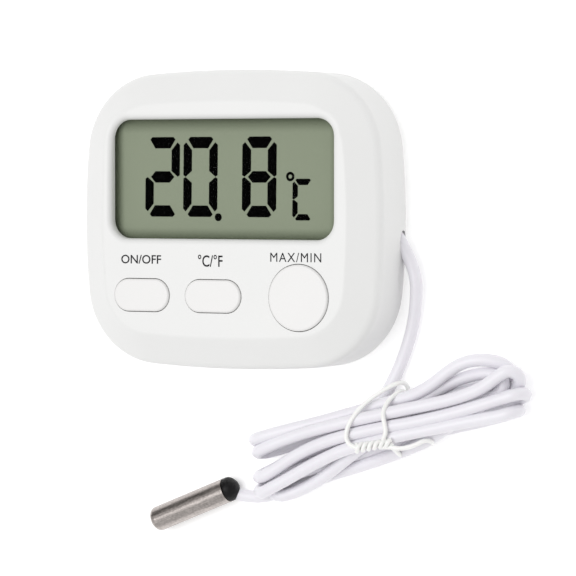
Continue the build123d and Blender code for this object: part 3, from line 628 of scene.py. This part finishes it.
class Finishes:
    """Every finish of the object, built once."""

    def __init__(self, window_low: Plan, window_high: Plan, probe_heading: Plan) -> None:
        """Builds the materials.

        Args:
            window_low: the window's lower left corner, in millimetres.
            window_high: its upper right corner.
            probe_heading: the direction of the probe's axis in plan.
        """
        drawn = (probe_heading[0], probe_heading[1], 0.0)
        self.by_slot: dict[str, bpy.types.Material] = {
            finish_name: finish.material()
            for finish_name, finish in {
                "case_plastic": MouldedPlastic("moulded_abs_white", "e7e7e6"),
                "key_plastic": MouldedPlastic("moulded_abs_key_white", "e8e7e6", roughness=0.4, grain=0.5),
                "frame_plastic": MouldedPlastic("moulded_abs_grey", "8b8f90", roughness=0.5),
                "window_clear": CoatedAcrylic("coated_acrylic_clear"),
                # The film's second colour is painted shade along the window's edges, under the case's rim.
                "lcd_glass": Polariser("polariser_grey_green_painted_rim_shade", "8b937f", "666e5b", window_low, window_high),
                "lcd_reflector": MouldedPlastic("reflector_film_silver", "b9bdb4", roughness=0.3, relief=0.002),
                "strip_rubber": LayeredRubber("striped_contact_rubber", "1d1b1b", "c9a59c"),
                "board": SolderMask("lacquered_fibreglass_green", "1f5b33", "3c8a4c"),
                "resin_black": CastResin("cast_epoxy_black", "070708"),
                "crystal_steel": BrushedMetal("drawn_steel_can", "c6c6c4", 0.25),
                "chip_ceramic": MouldedPlastic("fired_ceramic_tan", "a58f74", roughness=0.55, grain=0.3),
                "dome_silicone": MouldedPlastic("moulded_silicone_grey", "c9cccd", roughness=0.6),
                "pill_carbon": CastResin("pressed_carbon_black", "151515", 0.6, 0.3, 0.02),
                "cell_steel": BrushedMetal("nickel_plated_cell_can", "cfcfcb", 0.22, speckle=0.06),
                "contact_nickel": BrushedMetal("nickel_plated_strip", "c9c7c0", 0.28, (0.0, 1.0, 0.0)),
                "screw_steel": BrushedMetal("zinc_plated_screw", "b6b8ba", 0.32),
                "pin_steel": BrushedMetal("drawn_steel_wire", "bcbdbe", 0.3),
                "wire_jacket": ExtrudedVinyl("core_insulation_red", "b93a34", "a5322e"),
                "cord_pvc": ExtrudedVinyl("extruded_pvc_white", "eeedf2", "e9e6ec"),
                "tie_plastic": ExtrudedVinyl("tie_vinyl_white", "fafaf8", "f1f1ee", 0.3, 0.8, 0.03),
                "probe_steel": BrushedMetal(
                    "belt_ground_stainless", "b5aeaa", 0.33, drawn, 0.22, 3.0, 0.008, 0.34, 0.5
                ),
                "bead_glass": MouldedPlastic("sintered_glass_bead", "6e2f22", roughness=0.15, relief=0.002),
            }.items()
        }
        self.segment_ink = PrintedInk("liquid_crystal_black", "030303", uneven=0.1).material()
        self.label_ink = PrintedInk("pad_print_charcoal", "2e2e30").material()


# ---- Carried-over solids ----


def dress_nodes(nodes: dict[str, bpy.types.Object], slots: dict[str, str], finishes: Finishes) -> None:
    """Gives each carried-over solid the finish that its slot names.

    Args:
        nodes: each solid's name and object.
        slots: each solid's name and finish slot.
        finishes: the object's materials.
    """
    for name, thing in nodes.items():
        dress(thing, finishes.by_slot[slots[name]])
        LOG.info("dressed %s as %s", name, slots[name])


# ---- Display ----


class Bar(Enum):
    """The seven bars of one figure."""

    TOP = "top"
    UPPER_LEFT = "upper_left"
    UPPER_RIGHT = "upper_right"
    MIDDLE = "middle"
    LOWER_LEFT = "lower_left"
    LOWER_RIGHT = "lower_right"
    BOTTOM = "bottom"


@dataclass
class Figure:
    """One seven-bar figure: where it stands, how large it is, and which bars are on."""

    left: float
    width: float
    post: float  # width of its upright bars
    lit: tuple[Bar, ...]
    low: float = 0.5
    height: float = 15.85
    bar: float = 2.25  # height of its level bars
    gap: float = 0.42
    lean: float = 0.012

    def outline(self, bar: Bar) -> list[Plan]:
        """The corners of one bar, in millimetres, before the lean.

        Args:
            bar: which bar.

        Returns:
            Its corners in order, measured from the figure's lower left corner.
        """
        # Width, height, level bar, upright bar and gap; the shares below cut the bars' ends.
        w, h, t, p, g = self.width, self.height, self.bar, self.post, self.gap
        mid = h / 2
        half = t / 2
        tip, shoulder, inner = 0.55 * p, 0.8 * p, p + 0.75 * g
        shapes: dict[Bar, list[Plan]] = {
            Bar.TOP: [
                (shoulder, h),
                (w - shoulder, h),
                (w - tip, h - 0.22 * t),
                (w - inner, h - t),
                (inner, h - t),
                (tip, h - 0.22 * t),
            ],
            Bar.UPPER_LEFT: [
                (0.0, h - 0.72 * t),
                (0.3 * p, h - 0.48 * t),
                (p, h - t - 0.9 * g),
                (p, mid + half + 0.1 * g),
                (0.26 * p, mid + 0.12 * g),
                (0.0, mid + 0.8 * g),
            ],
            Bar.MIDDLE: [
                (tip + 0.5 * g, mid),
                (inner + 0.2 * g, mid + half),
                (w - inner - 0.2 * g, mid + half),
                (w - tip - 0.5 * g, mid),
                (w - inner - 0.2 * g, mid - half),
                (inner + 0.2 * g, mid - half),
            ],
        }
        if bar in shapes:
            return shapes[bar]
        if bar is Bar.BOTTOM:
            return [(x, h - y) for x, y in shapes[Bar.TOP]]
        corners = shapes[Bar.UPPER_LEFT]
        if bar in (Bar.UPPER_RIGHT, Bar.LOWER_RIGHT):
            corners = [(w - x, y) for x, y in corners]
        if bar in (Bar.LOWER_LEFT, Bar.LOWER_RIGHT):
            corners = [(x, h - y) for x, y in corners]
        return corners

    def corners(self, bar: Bar) -> list[Plan]:
        """One bar's corners where they stand on the display, leaning a little to the right."""
        return [(self.left + x + self.lean * y, self.low + y) for x, y in self.outline(bar)]


@dataclass
class Display:
    """The reading: three large figures, a point, a degree ring and a small unit letter."""

    high: float = 12.95  # the film's surface
    film: float = 0.04
    figures: list[Figure] = field(
        default_factory=lambda: [
            Figure(-19.1, 7.85, 1.9, (Bar.TOP, Bar.UPPER_RIGHT, Bar.MIDDLE, Bar.LOWER_LEFT, Bar.BOTTOM)),
            Figure(-10.4, 7.75, 1.9, tuple(bar for bar in Bar if bar is not Bar.MIDDLE)),
            Figure(2.9, 7.65, 1.95, tuple(Bar)),
            Figure(
                *(14.15, 4.6, 1.15),
                (Bar.TOP, Bar.UPPER_LEFT, Bar.LOWER_LEFT, Bar.BOTTOM),
                low=-0.07,
                height=8.14,
                bar=1.22,
                gap=0.2,
            ),
        ]
    )
    point: tuple[float, float, float] = (-2.4, 0.45, 0.78)  # its centre and radius
    ring: tuple[float, float, float, float] = (13.7, 8.5, 0.92, 0.4)

    def prism(self, form: bmesh.types.BMesh, outer: Sequence[Plan], inner: Sequence[Plan] = ()) -> None:
        """Adds one flat shape with thickness, with a hole if an inner outline is given.

        Args:
            form: the bmesh to add to.
            outer: its outer corners, in millimetres.
            inner: as many corners of a hole, or none.
        """
        heights = (self.high * MM, (self.high + self.film) * MM)
        loops = [[form.verts.new((x * MM, y * MM, z)) for x, y in line] for line in (outer, inner) for z in heights]
        low, high, hole_low, hole_high = loops
        count = len(outer)
        for i in range(count):
            j = (i + 1) % count
            form.faces.new((low[i], low[j], high[j], high[i]))
            if inner:
                form.faces.new((hole_low[j], hole_low[i], hole_high[i], hole_high[j]))
                form.faces.new((high[i], high[j], hole_high[j], hole_high[i]))
                form.faces.new((low[j], low[i], hole_low[i], hole_low[j]))
        if not inner:
            form.faces.new(high)
            form.faces.new(list(reversed(low)))

    @staticmethod
    def circle(x: float, y: float, radius: float, sides: int = 32) -> list[Plan]:
        """The corners of a many-sided circle."""
        turn = 2 * math.pi / sides
        return [(x + radius * math.cos(i * turn), y + radius * math.sin(i * turn)) for i in range(sides)]

    def build(self, finishes: Finishes) -> list[bpy.types.Object]:
        """Builds and dresses the reading.

        Args:
            finishes: the object's materials.

        Returns:
            The pieces, which ride on the case.
        """
        pieces = []
        for index, figure in enumerate(self.figures, start=1):
            form = bmesh.new()
            for bar in figure.lit:
                self.prism(form, figure.corners(bar))
            pieces.append(finish_shape(f"display_figure_{index}", form, smooth=False))
        form = bmesh.new()
        self.prism(form, self.circle(*self.point))
        x, y, outer, inner = self.ring
        self.prism(form, self.circle(x, y, outer), self.circle(x, y, inner))
        pieces.append(finish_shape("display_marks", form, smooth=False))
        for piece in pieces:
            dress(piece, finishes.segment_ink)
            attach(piece, "case")
            LOG.info("built %s", piece.name)
        return pieces


# ---- Printed labels ----


@dataclass
class Label:
    """One line of small print over a key: its words, and the box that they fill."""

    name: str
    words: str
    low: Plan
    high: Plan
    spacing: float = 1.0
    weight: float = 0.01  # how far each stroke is swelled, as a share of the type's height

    def build(self, face_height: float, ink: float, finishes: Finishes) -> bpy.types.Object:
        """Prints the label on the case.

        Args:
            face_height: height of the face that it is printed on.
            ink: the ink's thickness.
            finishes: the object's materials.

        Returns:
            The print, as a mesh.
        """
        data = bpy.data.curves.new(self.name + "_type", "FONT")
        data.body = self.words
        data.space_character = self.spacing
        data.resolution_u = 4
        data.offset = self.weight
        data.extrude = 0.5
        source = bpy.data.objects.new(self.name + "_type", data)
        mesh = bpy.data.meshes.new_from_object(source)
        mesh.name = self.name
        bpy.data.objects.remove(source)
        xs = [v.co.x for v in mesh.vertices]
        ys = [v.co.y for v in mesh.vertices]
        spread_x = (self.high[0] - self.low[0]) / (max(xs) - min(xs))
        spread_y = (self.high[1] - self.low[1]) / (max(ys) - min(ys))
        for vertex in mesh.vertices:
            x = self.low[0] + (vertex.co.x - min(xs)) * spread_x
            y = self.low[1] + (vertex.co.y - min(ys)) * spread_y
            z = face_height + ink * (vertex.co.z + 0.5)
            vertex.co = (x * MM, y * MM, z * MM)
        label = bpy.data.objects.new(self.name, mesh)
        bpy.context.scene.collection.objects.link(label)
        dress(label, finishes.label_ink)
        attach(label, "case")
        LOG.info("printed %s", self.name)
        return label


@dataclass
class KeyLabels:
    """The three printed lines over the keys."""

    face_height: float = 16.0
    ink: float = 0.02
    labels: list[Label] = field(
        default_factory=lambda: [
            Label("label_on_off", "ON/OFF", (-22.9, -8.86), (-13.7, -7.11)),
            Label("label_unit", "°C/°F", (-5.3, -9.3), (0.25, -6.9)),
            Label("label_max_min", "MAX/MIN", (10.9, -8.15), (22.1, -6.34), 1.16, 0.0),
        ]
    )

    def build(self, finishes: Finishes) -> None:
        """Prints all the labels."""
        for label in self.labels:
            label.build(self.face_height, self.ink, finishes)


# ---- Cord ----

HANK_CENTRE = (31.4, -40.6)
HANK_ANGLE = 17.0  # degrees, from +X to the hank's length


def hank_point(along: float, across: float, height: float) -> Point:
    """Turns the hank's own axes, along it, across it and height, into the object's millimetres."""
    angle = math.radians(HANK_ANGLE)
    return (
        HANK_CENTRE[0] + along * math.cos(angle) - across * math.sin(angle),
        HANK_CENTRE[1] + along * math.sin(angle) + across * math.cos(angle),
        height,
    )


# From the clamp inside the case, through the side wall, and along the floor to the hank.
LEAD_ROUTE: list[Point] = [
    (27.5, 3.2, 3.2),
    (36.2, -7.4, 2.9),
    (35.6, -19.0, 1.5),
    (31.8, -29.5, 1.25),
    (27.0, -37.2, 1.3),
]

# The hank in its own axes: out under the tie on the floor, over itself at the fold, and back on
# top, five times.
HANK_ROUTE: list[Point] = [
    # First loop
    *[(-8.0, 5.1, 1.6), (-16.0, 5.3, 1.4), (-24.0, 5.1, 1.25), (-27.0, 5.1, 1.25), (-28.9, 5.1, 1.4)],
    *[(-30.0, 5.2, 2.7), (-30.0, 5.4, 4.5), (-28.9, 5.5, 5.9), (-27.0, 5.5, 6.1), (-22.0, 5.4, 5.9)],
    *[(-16.5, 5.1, 5.3), (-6.5, 4.9, 4.6), (1.9, 4.8, 4.6), (6.5, 4.6, 4.9), (11.3, 5.5, 5.3)],
    *[(16.3, 7.4, 5.4), (20.0, 8.0, 5.3), (23.6, 7.3, 4.7), (26.4, 5.8, 3.8), (27.2, 4.0, 2.7)],
    *[(26.2, 2.9, 1.7), (23.8, 2.6, 1.3)],
    # Second loop
    *[(18.0, 2.8, 1.25), (10.0, 3.2, 2.0), (0.0, 3.3, 2.8), (-10.0, 3.3, 2.3), (-20.0, 2.8, 1.25)],
    *[(-24.5, 2.5, 1.25), (-27.2, 2.5, 1.25), (-29.0, 2.5, 1.4), (-30.1, 2.6, 2.7), (-30.1, 2.9, 4.5)],
    *[(-29.0, 3.0, 5.9), (-27.2, 3.2, 6.15), (-23.0, 3.6, 6.2), (-16.9, 3.8, 6.4), (-7.8, 3.4, 6.7)],
    *[(1.1, 2.7, 6.8), (5.5, 2.4, 6.7), (9.9, 2.0, 6.5), (14.4, 1.7, 6.4), (18.9, 1.7, 6.5)],
    *[(22.8, 2.2, 6.6), (26.0, 3.4, 6.5), (28.2, 3.9, 6.1), (29.4, 3.0, 5.1), (29.2, 1.6, 3.7)],
    *[(27.8, 0.6, 2.3), (25.2, 0.2, 1.4)],
    # Third loop
    *[(19.0, 0.2, 1.25), (10.0, 1.0, 1.7), (0.0, 1.1, 2.1), (-10.0, 1.1, 1.8), (-20.0, 0.3, 1.25)],
    *[(-25.8, -0.5, 1.25), (-28.4, -0.9, 1.25), (-30.2, -1.2, 1.4), (-31.3, -1.5, 2.7)],
    *[(-31.3, -1.9, 4.5), (-30.2, -2.1, 5.8), (-28.4, -2.0, 6.05)],
    *[(-25.0, -1.1, 6.1), (-21.0, 0.0, 6.2), (-15.3, 0.8, 6.5)],
    *[(-9.0, 0.9, 6.8), (0.5, 0.2, 6.9), (4.9, -0.4, 6.8), (13.7, -1.0, 6.4), (21.0, -1.0, 6.1)],
    *[(24.6, -0.9, 6.05), (26.4, -0.9, 6.05), (28.0, -0.9, 5.8), (29.0, -1.0, 4.5), (29.0, -1.3, 2.7)],
    *[(28.0, -1.6, 1.4), (26.2, -1.8, 1.25)],
    # Fourth loop
    *[(19.0, -1.9, 1.25), (10.0, -1.2, 2.0), (0.0, -0.9, 2.8), (-10.0, -1.1, 2.3), (-20.0, -2.2, 1.25)],
    *[(-26.0, -2.9, 1.25), (-28.8, -3.1, 1.25), (-30.8, -3.3, 1.5), (-32.0, -3.9, 2.7), (-32.1, -4.8, 4.5)],
    *[(-30.9, -5.2, 5.8), (-28.8, -4.9, 6.05), (-24.0, -4.0, 6.1), (-18.8, -2.9, 6.3), (-13.9, -2.1, 6.5)],
    *[(-9.3, -1.6, 6.7), (2.1, -2.1, 6.8), (8.7, -2.7, 6.6), (16.0, -3.2, 6.2), (21.0, -3.7, 6.0)],
    *[(24.0, -4.0, 6.0), (25.8, -4.0, 5.8), (26.9, -4.0, 4.5), (26.9, -3.9, 2.7), (25.8, -3.9, 1.4)],
    *[(24.0, -3.9, 1.25)],
    # Fifth loop, which lies flat at its left end
    *[(18.0, -3.8, 1.25), (10.0, -3.2, 1.7), (0.0, -2.9, 2.1), (-10.0, -3.0, 2.1), (-17.0, -3.4, 2.9)],
    *[(-22.5, -3.3, 3.6), (-26.2, -3.3, 3.7), (-28.4, -3.6, 3.7), (-29.6, -4.7, 3.65), (-29.2, -6.1, 3.6)],
    *[(-27.6, -6.9, 3.5), (-24.0, -6.8, 3.4), (-19.6, -6.1, 3.5)],
    *[(-15.0, -4.7, 3.8), (-9.0, -2.7, 4.5), (0.0, 0.4, 4.8)],
    *[(8.7, 3.4, 3.8), (11.8, 4.5, 3.4), (15.6, 5.2, 3.3), (20.0, 5.2, 3.4), (23.0, 4.7, 3.6)],
    *[(25.2, 3.6, 3.8), (25.8, 1.8, 3.9), (24.4, 0.2, 3.8), (17.0, -1.6, 3.65), (10.0, -3.6, 3.8)],
    *[(5.5, -4.7, 3.3), (-1.9, -5.2, 2.4), (-9.4, -5.4, 1.7), (-16.0, -5.4, 1.3), (-23.0, -5.5, 1.25)],
    *[(-29.0, -5.8, 1.25)],
]

# The short end, from under the hank into the lower half of the resin.
TAIL_ROUTE: list[Point] = [
    (2.2, -55.6, 1.25),
    (0.0, -55.9, 1.25),
    (-2.6, -55.8, 1.25),
    (-4.6, -55.4, 1.6),
    (-6.3, -54.8, 2.3),
]


@dataclass
class Cord:
    """The thin white cord, in one piece from the clamp in the case to the probe."""

    diameter: float = 2.5
    exit: Point = (33.3, -3.2, 3.2)
    length: float = 696.0

    def route(self) -> list[Point]:
        """Every control point of the cord, in millimetres."""
        return [*LEAD_ROUTE, *[hank_point(*point) for point in HANK_ROUTE], *TAIL_ROUTE]

    def build(self, finishes: Finishes, with_pieces: Sequence[bpy.types.Object]) -> bpy.types.Object:
        """Lays the cord.

        Args:
            finishes: the object's materials.
            with_pieces: the separate pieces on the cord; not used.

        Returns:
            The cord's curve.
        """
        cord = spline_object("cord", self.route(), self.diameter / 2, sides=12)
        dress(cord, finishes.by_slot["cord_pvc"])
        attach(cord, "case")
        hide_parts("cord_lead", "cord_hank", "cord_tail")
        LOG.info("laid the cord")
        return cord


# ---- Tie ----


@dataclass
class TwistTie:
    """A thin vinyl-covered wire round the hank's waist, with its ends twisted together on top."""

    wire_radius: float = 0.45
    twist_radius: float = 0.6
    twist_turns: float = 3.0
    points_per_turn: int = 8
    looser: float = 0.15  # the twist starts this share wider than its radius, and ends this share tighter
    twist_start: Point = (-6.4, -2.2, 8.4)
    twist_end: Point = (1.2, -3.1, 8.3)
    over_left: list[Point] = field(
        default_factory=lambda: [
            (-6.0, -2.4, 8.2),
            (-7.4, -1.6, 8.4),
            (-8.1, 0.0, 8.5),
            (-7.3, 2.0, 8.5),
            (-5.2, 4.2, 8.0),
            (-2.6, 6.0, 6.8),
            (0.6, 7.2, 5.6),
            (3.6, 8.0, 4.4),
            (4.8, 7.8, 2.6),
            (4.2, 6.2, 0.7),
            (2.6, 3.0, 0.42),
            (0.6, -2.0, 0.42),
            (-0.4, -4.8, 0.6),
            (-0.2, -5.9, 2.4),
            (0.4, -5.2, 5.2),
            (0.8, -3.9, 7.6),
            (0.0, -3.2, 8.3),
        ]
    )
    over_right: list[Point] = field(
        default_factory=lambda: [
            (-0.8, -2.8, 8.4),
            (0.8, -1.2, 8.6),
            (1.0, 0.8, 8.6),
            (1.0, 2.8, 8.3),
            (1.9, 4.6, 7.2),
            (3.4, 5.9, 5.6),
            (4.2, 6.4, 3.4),
            (4.0, 5.2, 0.7),
            (3.6, 2.0, 0.42),
            (3.6, -2.4, 0.42),
            (4.8, -4.8, 0.6),
            (7.0, -5.4, 2.6),
            (8.2, -4.9, 5.0),
            (7.4, -4.4, 6.6),
            (5.2, -4.9, 7.2),
            (2.6, -4.8, 7.9),
            (0.6, -3.8, 8.2),
            (-1.6, -3.3, 8.3),
        ]
    )

    def twist(self, phase: float) -> list[Point]:
        """One of the two wires of the twisted ends.

        Args:
            phase: where it starts round the twist, in radians.

        Returns:
            Its control points in the hank's axes.
        """
        start, end = Vector(self.twist_start), Vector(self.twist_end)
        axis = (end - start).normalized()
        side = axis.cross(Vector((0.0, 0.0, 1.0))).normalized()
        up = side.cross(axis)
        steps = round(self.twist_turns * self.points_per_turn)
        points = []
        for step in range(steps + 1):
            share = step / steps
            turn = phase + share * self.twist_turns * 2 * math.pi
            swell = self.twist_radius * (1 + self.looser * (1 - 2 * share))
            place = start.lerp(end, share) + (side * math.cos(turn) + up * math.sin(turn)) * swell
            points.append(tuple(place))
        return points

    def build(self, finishes: Finishes) -> list[bpy.types.Object]:
        """Ties the hank.

        Args:
            finishes: the object's materials.

        Returns:
            The tie's wires.
        """
        wires = {
            "tie_over_left": self.over_left,
            "tie_over_right": self.over_right,
            "tie_twist_1": self.twist(0.0),
            "tie_twist_2": self.twist(math.pi),
        }
        made = []
        for name, points in wires.items():
            wire = spline_object(name, [hank_point(*point) for point in points], self.wire_radius, sides=6)
            dress(wire, finishes.by_slot["tie_plastic"])
            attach(wire, "case")
            made.append(wire)
            LOG.info("tied %s", name)
        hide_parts("twist_tie")
        return made


# ---- Probe ----


@dataclass
class Probe:
    """The ends of the steel cap: the black resin mounded in its mouth."""

    tip: Plan = (-23.0, -61.6)
    angle: float = 22.4
    radius: float = 2.5
    length: float = 18.2
    wall: float = 0.35
    mound: tuple[Plan, ...] = (
        (-1.2, 2.1),
        (-0.1, 2.13),
        (0.04, 2.3),
        (0.2, 2.42),
        (0.6, 2.46),
        (1.1, 2.36),
        (1.6, 2.08),
        (2.0, 1.72),
        (2.35, 1.25),
        (2.6, 0.6),
    )
    sides: int = 56
    ragged: float = 0.09  # how far the poured resin strays from round
    lumps: Point = (2.86, 2.64, 3.0)  # how fast the lumps change along it, round it, and grow from its mouth
    lift: float = 0.02  # it stays this far off the table

    def heading(self) -> Plan:
        """The direction of the probe's axis in plan."""
        angle = math.radians(self.angle)
        return math.cos(angle), math.sin(angle)

    def frame(self) -> Matrix:
        """At the mouth of the cap, with X out of it along the axis, in metres."""
        x, y = self.heading()
        place = Vector((self.tip[0] + self.length * x, self.tip[1] + self.length * y, self.radius)) * MM
        return Matrix.Translation(place) @ Matrix.Rotation(math.radians(self.angle), 4, "Z")

    def build(self, finishes: Finishes) -> list[bpy.types.Object]:
        """Builds the resin mound.

        Args:
            finishes: the object's materials.

        Returns:
            The pieces on the cord's far end.
        """
        form = bmesh.new()
        place = self.frame()
        rings = []
        fast, slow, growth = self.lumps
        for along, radius in self.mound:
            ring = []
            for side in range(self.sides):
                turn = 2 * math.pi * side / self.sides
                grown = radius
                if along > 0:
                    lump = Vector((along * fast, slow * math.cos(turn), slow * math.sin(turn)))
                    grown += self.ragged * noise.noise(lump) * min(1.0, growth * along)
                spot = Vector((along, grown * math.cos(turn), grown * math.sin(turn))) * MM
                spot = place @ spot
                spot.z = max(spot.z, self.lift * MM)
                ring.append(form.verts.new(spot))
            rings.append(ring)
        for first, second in zip(rings, rings[1:]):
            for i in range(self.sides):
                j = (i + 1) % self.sides
                form.faces.new((first[i], first[j], second[j], second[i]))
        form.faces.new(rings[0])
        form.faces.new(rings[-1])
        mound = finish_shape("potting_mound", form)
        dress(mound, finishes.by_slot["resin_black"])
        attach(mound, "case")
        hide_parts("probe_potting")
        LOG.info("built the potting mound")
        return [mound]


# ---- Studio ----


@dataclass
class Studio:
    """A light table, a wide soft sky, one large light from the left, a dark card, and the camera."""

    floor_span: float = 4000.0
    floor_gap: float = 0.05  # so that its face isn't shared with the object's back
    fibre_size: float = 3.0
    floor_hue: str = "f0f0f0"
    floor_glow: float = 0.34
    sky_strength: float = 0.68
    key_place: Point = (-220.0, 80.0, 1000.0)
    key_span: float = 900.0
    key_power: float = 5.0
    flag_place: Point = (-338.0, 145.0, 325.0)
    flag_span: Plan = (560.0, 560.0)
    flag_aim: Point = (-14.0, -58.0, 2.5)  # the probe's middle, where the card makes its dark streak
    flag_hue: str = "4a4744"
    camera_place: Point = (319.97, 8.6, 593.25)
    camera_heading: Point = (-0.46745, -0.03339, -0.88424)
    lens: float = 209.67
    sensor: float = 36.0

    def floor(self) -> bpy.types.Object:
        """Lays the floor, which is clear from below so that the object's back can be seen."""
        floor = rectangle("floor", self.floor_span, self.floor_span, -self.floor_gap)
        material, tree, surface = new_material("light_table_white")
        place = add_node(tree, "TexCoord").outputs["Object"]
        fibre = add_node(tree, "TexNoise", {"Vector": place, "Scale": per_metre(self.fibre_size), "Detail": 2.0})
        tone = add_node(
            tree,
            "MapRange",
            {"Value": fibre.outputs["Fac"], "To Min": 0.985, "To Max": 1.0},
        )
        shade = varied(tree, self.floor_hue, tone.outputs[0])
        sheet = add_node(tree, "BsdfDiffuse", {"Color": shade})
        glow = add_node(tree, "Emission", {"Color": (1.0, 1.0, 1.0, 1.0), "Strength": self.floor_glow})
        paper = add_node(tree, "AddShader", {0: sheet.outputs[0], 1: glow.outputs[0]})
        clear = add_node(tree, "BsdfTransparent", {"Color": (1.0, 1.0, 1.0, 1.0)})
        side = add_node(tree, "NewGeometry").outputs["Backfacing"]
        mix = add_node(tree, "MixShader", {0: side, 1: paper.outputs[0], 2: clear.outputs[0]})
        tree.links.new(mix.outputs[0], surface)
        dress(floor, material)
        return floor

    def light(self) -> None:
        """Sets the sky and the large light."""
        world = bpy.data.worlds.new("soft_sky")
        world.use_nodes = True
        world.node_tree.nodes.clear()
        sky = add_node(world.node_tree, "Background", {"Color": (1.0, 1.0, 1.0, 1.0), "Strength": self.sky_strength})
        output = add_node(world.node_tree, "OutputWorld")
        world.node_tree.links.new(sky.outputs[0], output.inputs["Surface"])
        bpy.context.scene.world = world
        data = bpy.data.lights.new("key", "AREA")
        data.shape = "DISK"
        data.size = self.key_span * MM
        data.energy = self.key_power
        key = bpy.data.objects.new("key", data)
        place = Vector(self.key_place) * MM
        key.location = place
        key.rotation_euler = (-place).to_track_quat("-Z", "Y").to_euler()
        bpy.context.scene.collection.objects.link(key)

    def flag(self, name: str, place: Point, span: Plan, aim: Point) -> bpy.types.Object:
        """Hangs a dark card that only reflections see.

        Args:
            name: the card's name.
            place: its centre, in millimetres.
            span: its width and height.
            aim: the point that it faces.

        Returns:
            The card.
        """
        card = rectangle(name, *span)
        card.location = Vector(place) * MM
        card.rotation_euler = (Vector(aim) - Vector(place)).to_track_quat("-Z", "Y").to_euler()
        dress(card, PrintedInk(name + "_cloth", self.flag_hue).material())
        card.visible_camera = False
        card.visible_diffuse = False
        card.visible_shadow = False
        card.visible_transmission = False
        return card

    def camera(self) -> None:
        """Sets the camera, level with the object's sides."""
        data = bpy.data.cameras.new("camera")
        data.lens = self.lens
        data.sensor_width = self.sensor
        data.clip_start = 0.01
        data.clip_end = 20.0
        camera = bpy.data.objects.new("camera", data)
        back = -Vector(self.camera_heading).normalized()
        right = Vector((0.0, 1.0, 0.0)).cross(back).normalized()
        up = back.cross(right)
        camera.matrix_world = Matrix.Translation(Vector(self.camera_place) * MM) @ Matrix(
            (right, up, back)
        ).transposed().to_4x4()
        bpy.context.scene.collection.objects.link(camera)
        bpy.context.scene.camera = camera

    def build(self) -> None:
        """Sets up everything that isn't the object."""
        self.floor()
        self.light()
        self.flag("upper_left_flag", self.flag_place, self.flag_span, self.flag_aim)
        self.camera()
        bpy.context.scene.view_settings.view_transform = "Standard"
        bpy.context.scene.view_settings.look = "None"
        LOG.info("set the studio")


def node_slots(record: dict) -> dict[str, str]:
    """Each solid's finish slot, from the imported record."""
    return {part["node"]: part["material_slot"] for part in record["subparts"]}


def window(lens_margin: float = 1.4) -> tuple[Plan, Plan]:
    """The display window's corners.

    Args:
        lens_margin: how far the lens passes the window on each side.

    Returns:
        Its lower left and upper right corners, in millimetres.
    """
    low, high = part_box("window_lens")
    return (
        (low[0] / MM + lens_margin, low[1] / MM + lens_margin),
        (high[0] / MM - lens_margin, high[1] / MM - lens_margin),
    )


def main() -> None:
    """Loads the frame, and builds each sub-assembly in order."""
    logging.basicConfig(level=logging.INFO, format="%(message)s")
    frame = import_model()
    probe = Probe()
    finishes = Finishes(*window(), probe.heading())
    dress_nodes(frame["nodes"], node_slots(frame["record"]), finishes)
    Display().build(finishes)
    KeyLabels().build(finishes)
    tie = TwistTie().build(finishes)
    end_pieces = probe.build(finishes)
    Cord().build(finishes, [*tie, *end_pieces, frame["nodes"]["probe_cap"]])
    Studio().build()


if __name__ == "__main__":
    main()
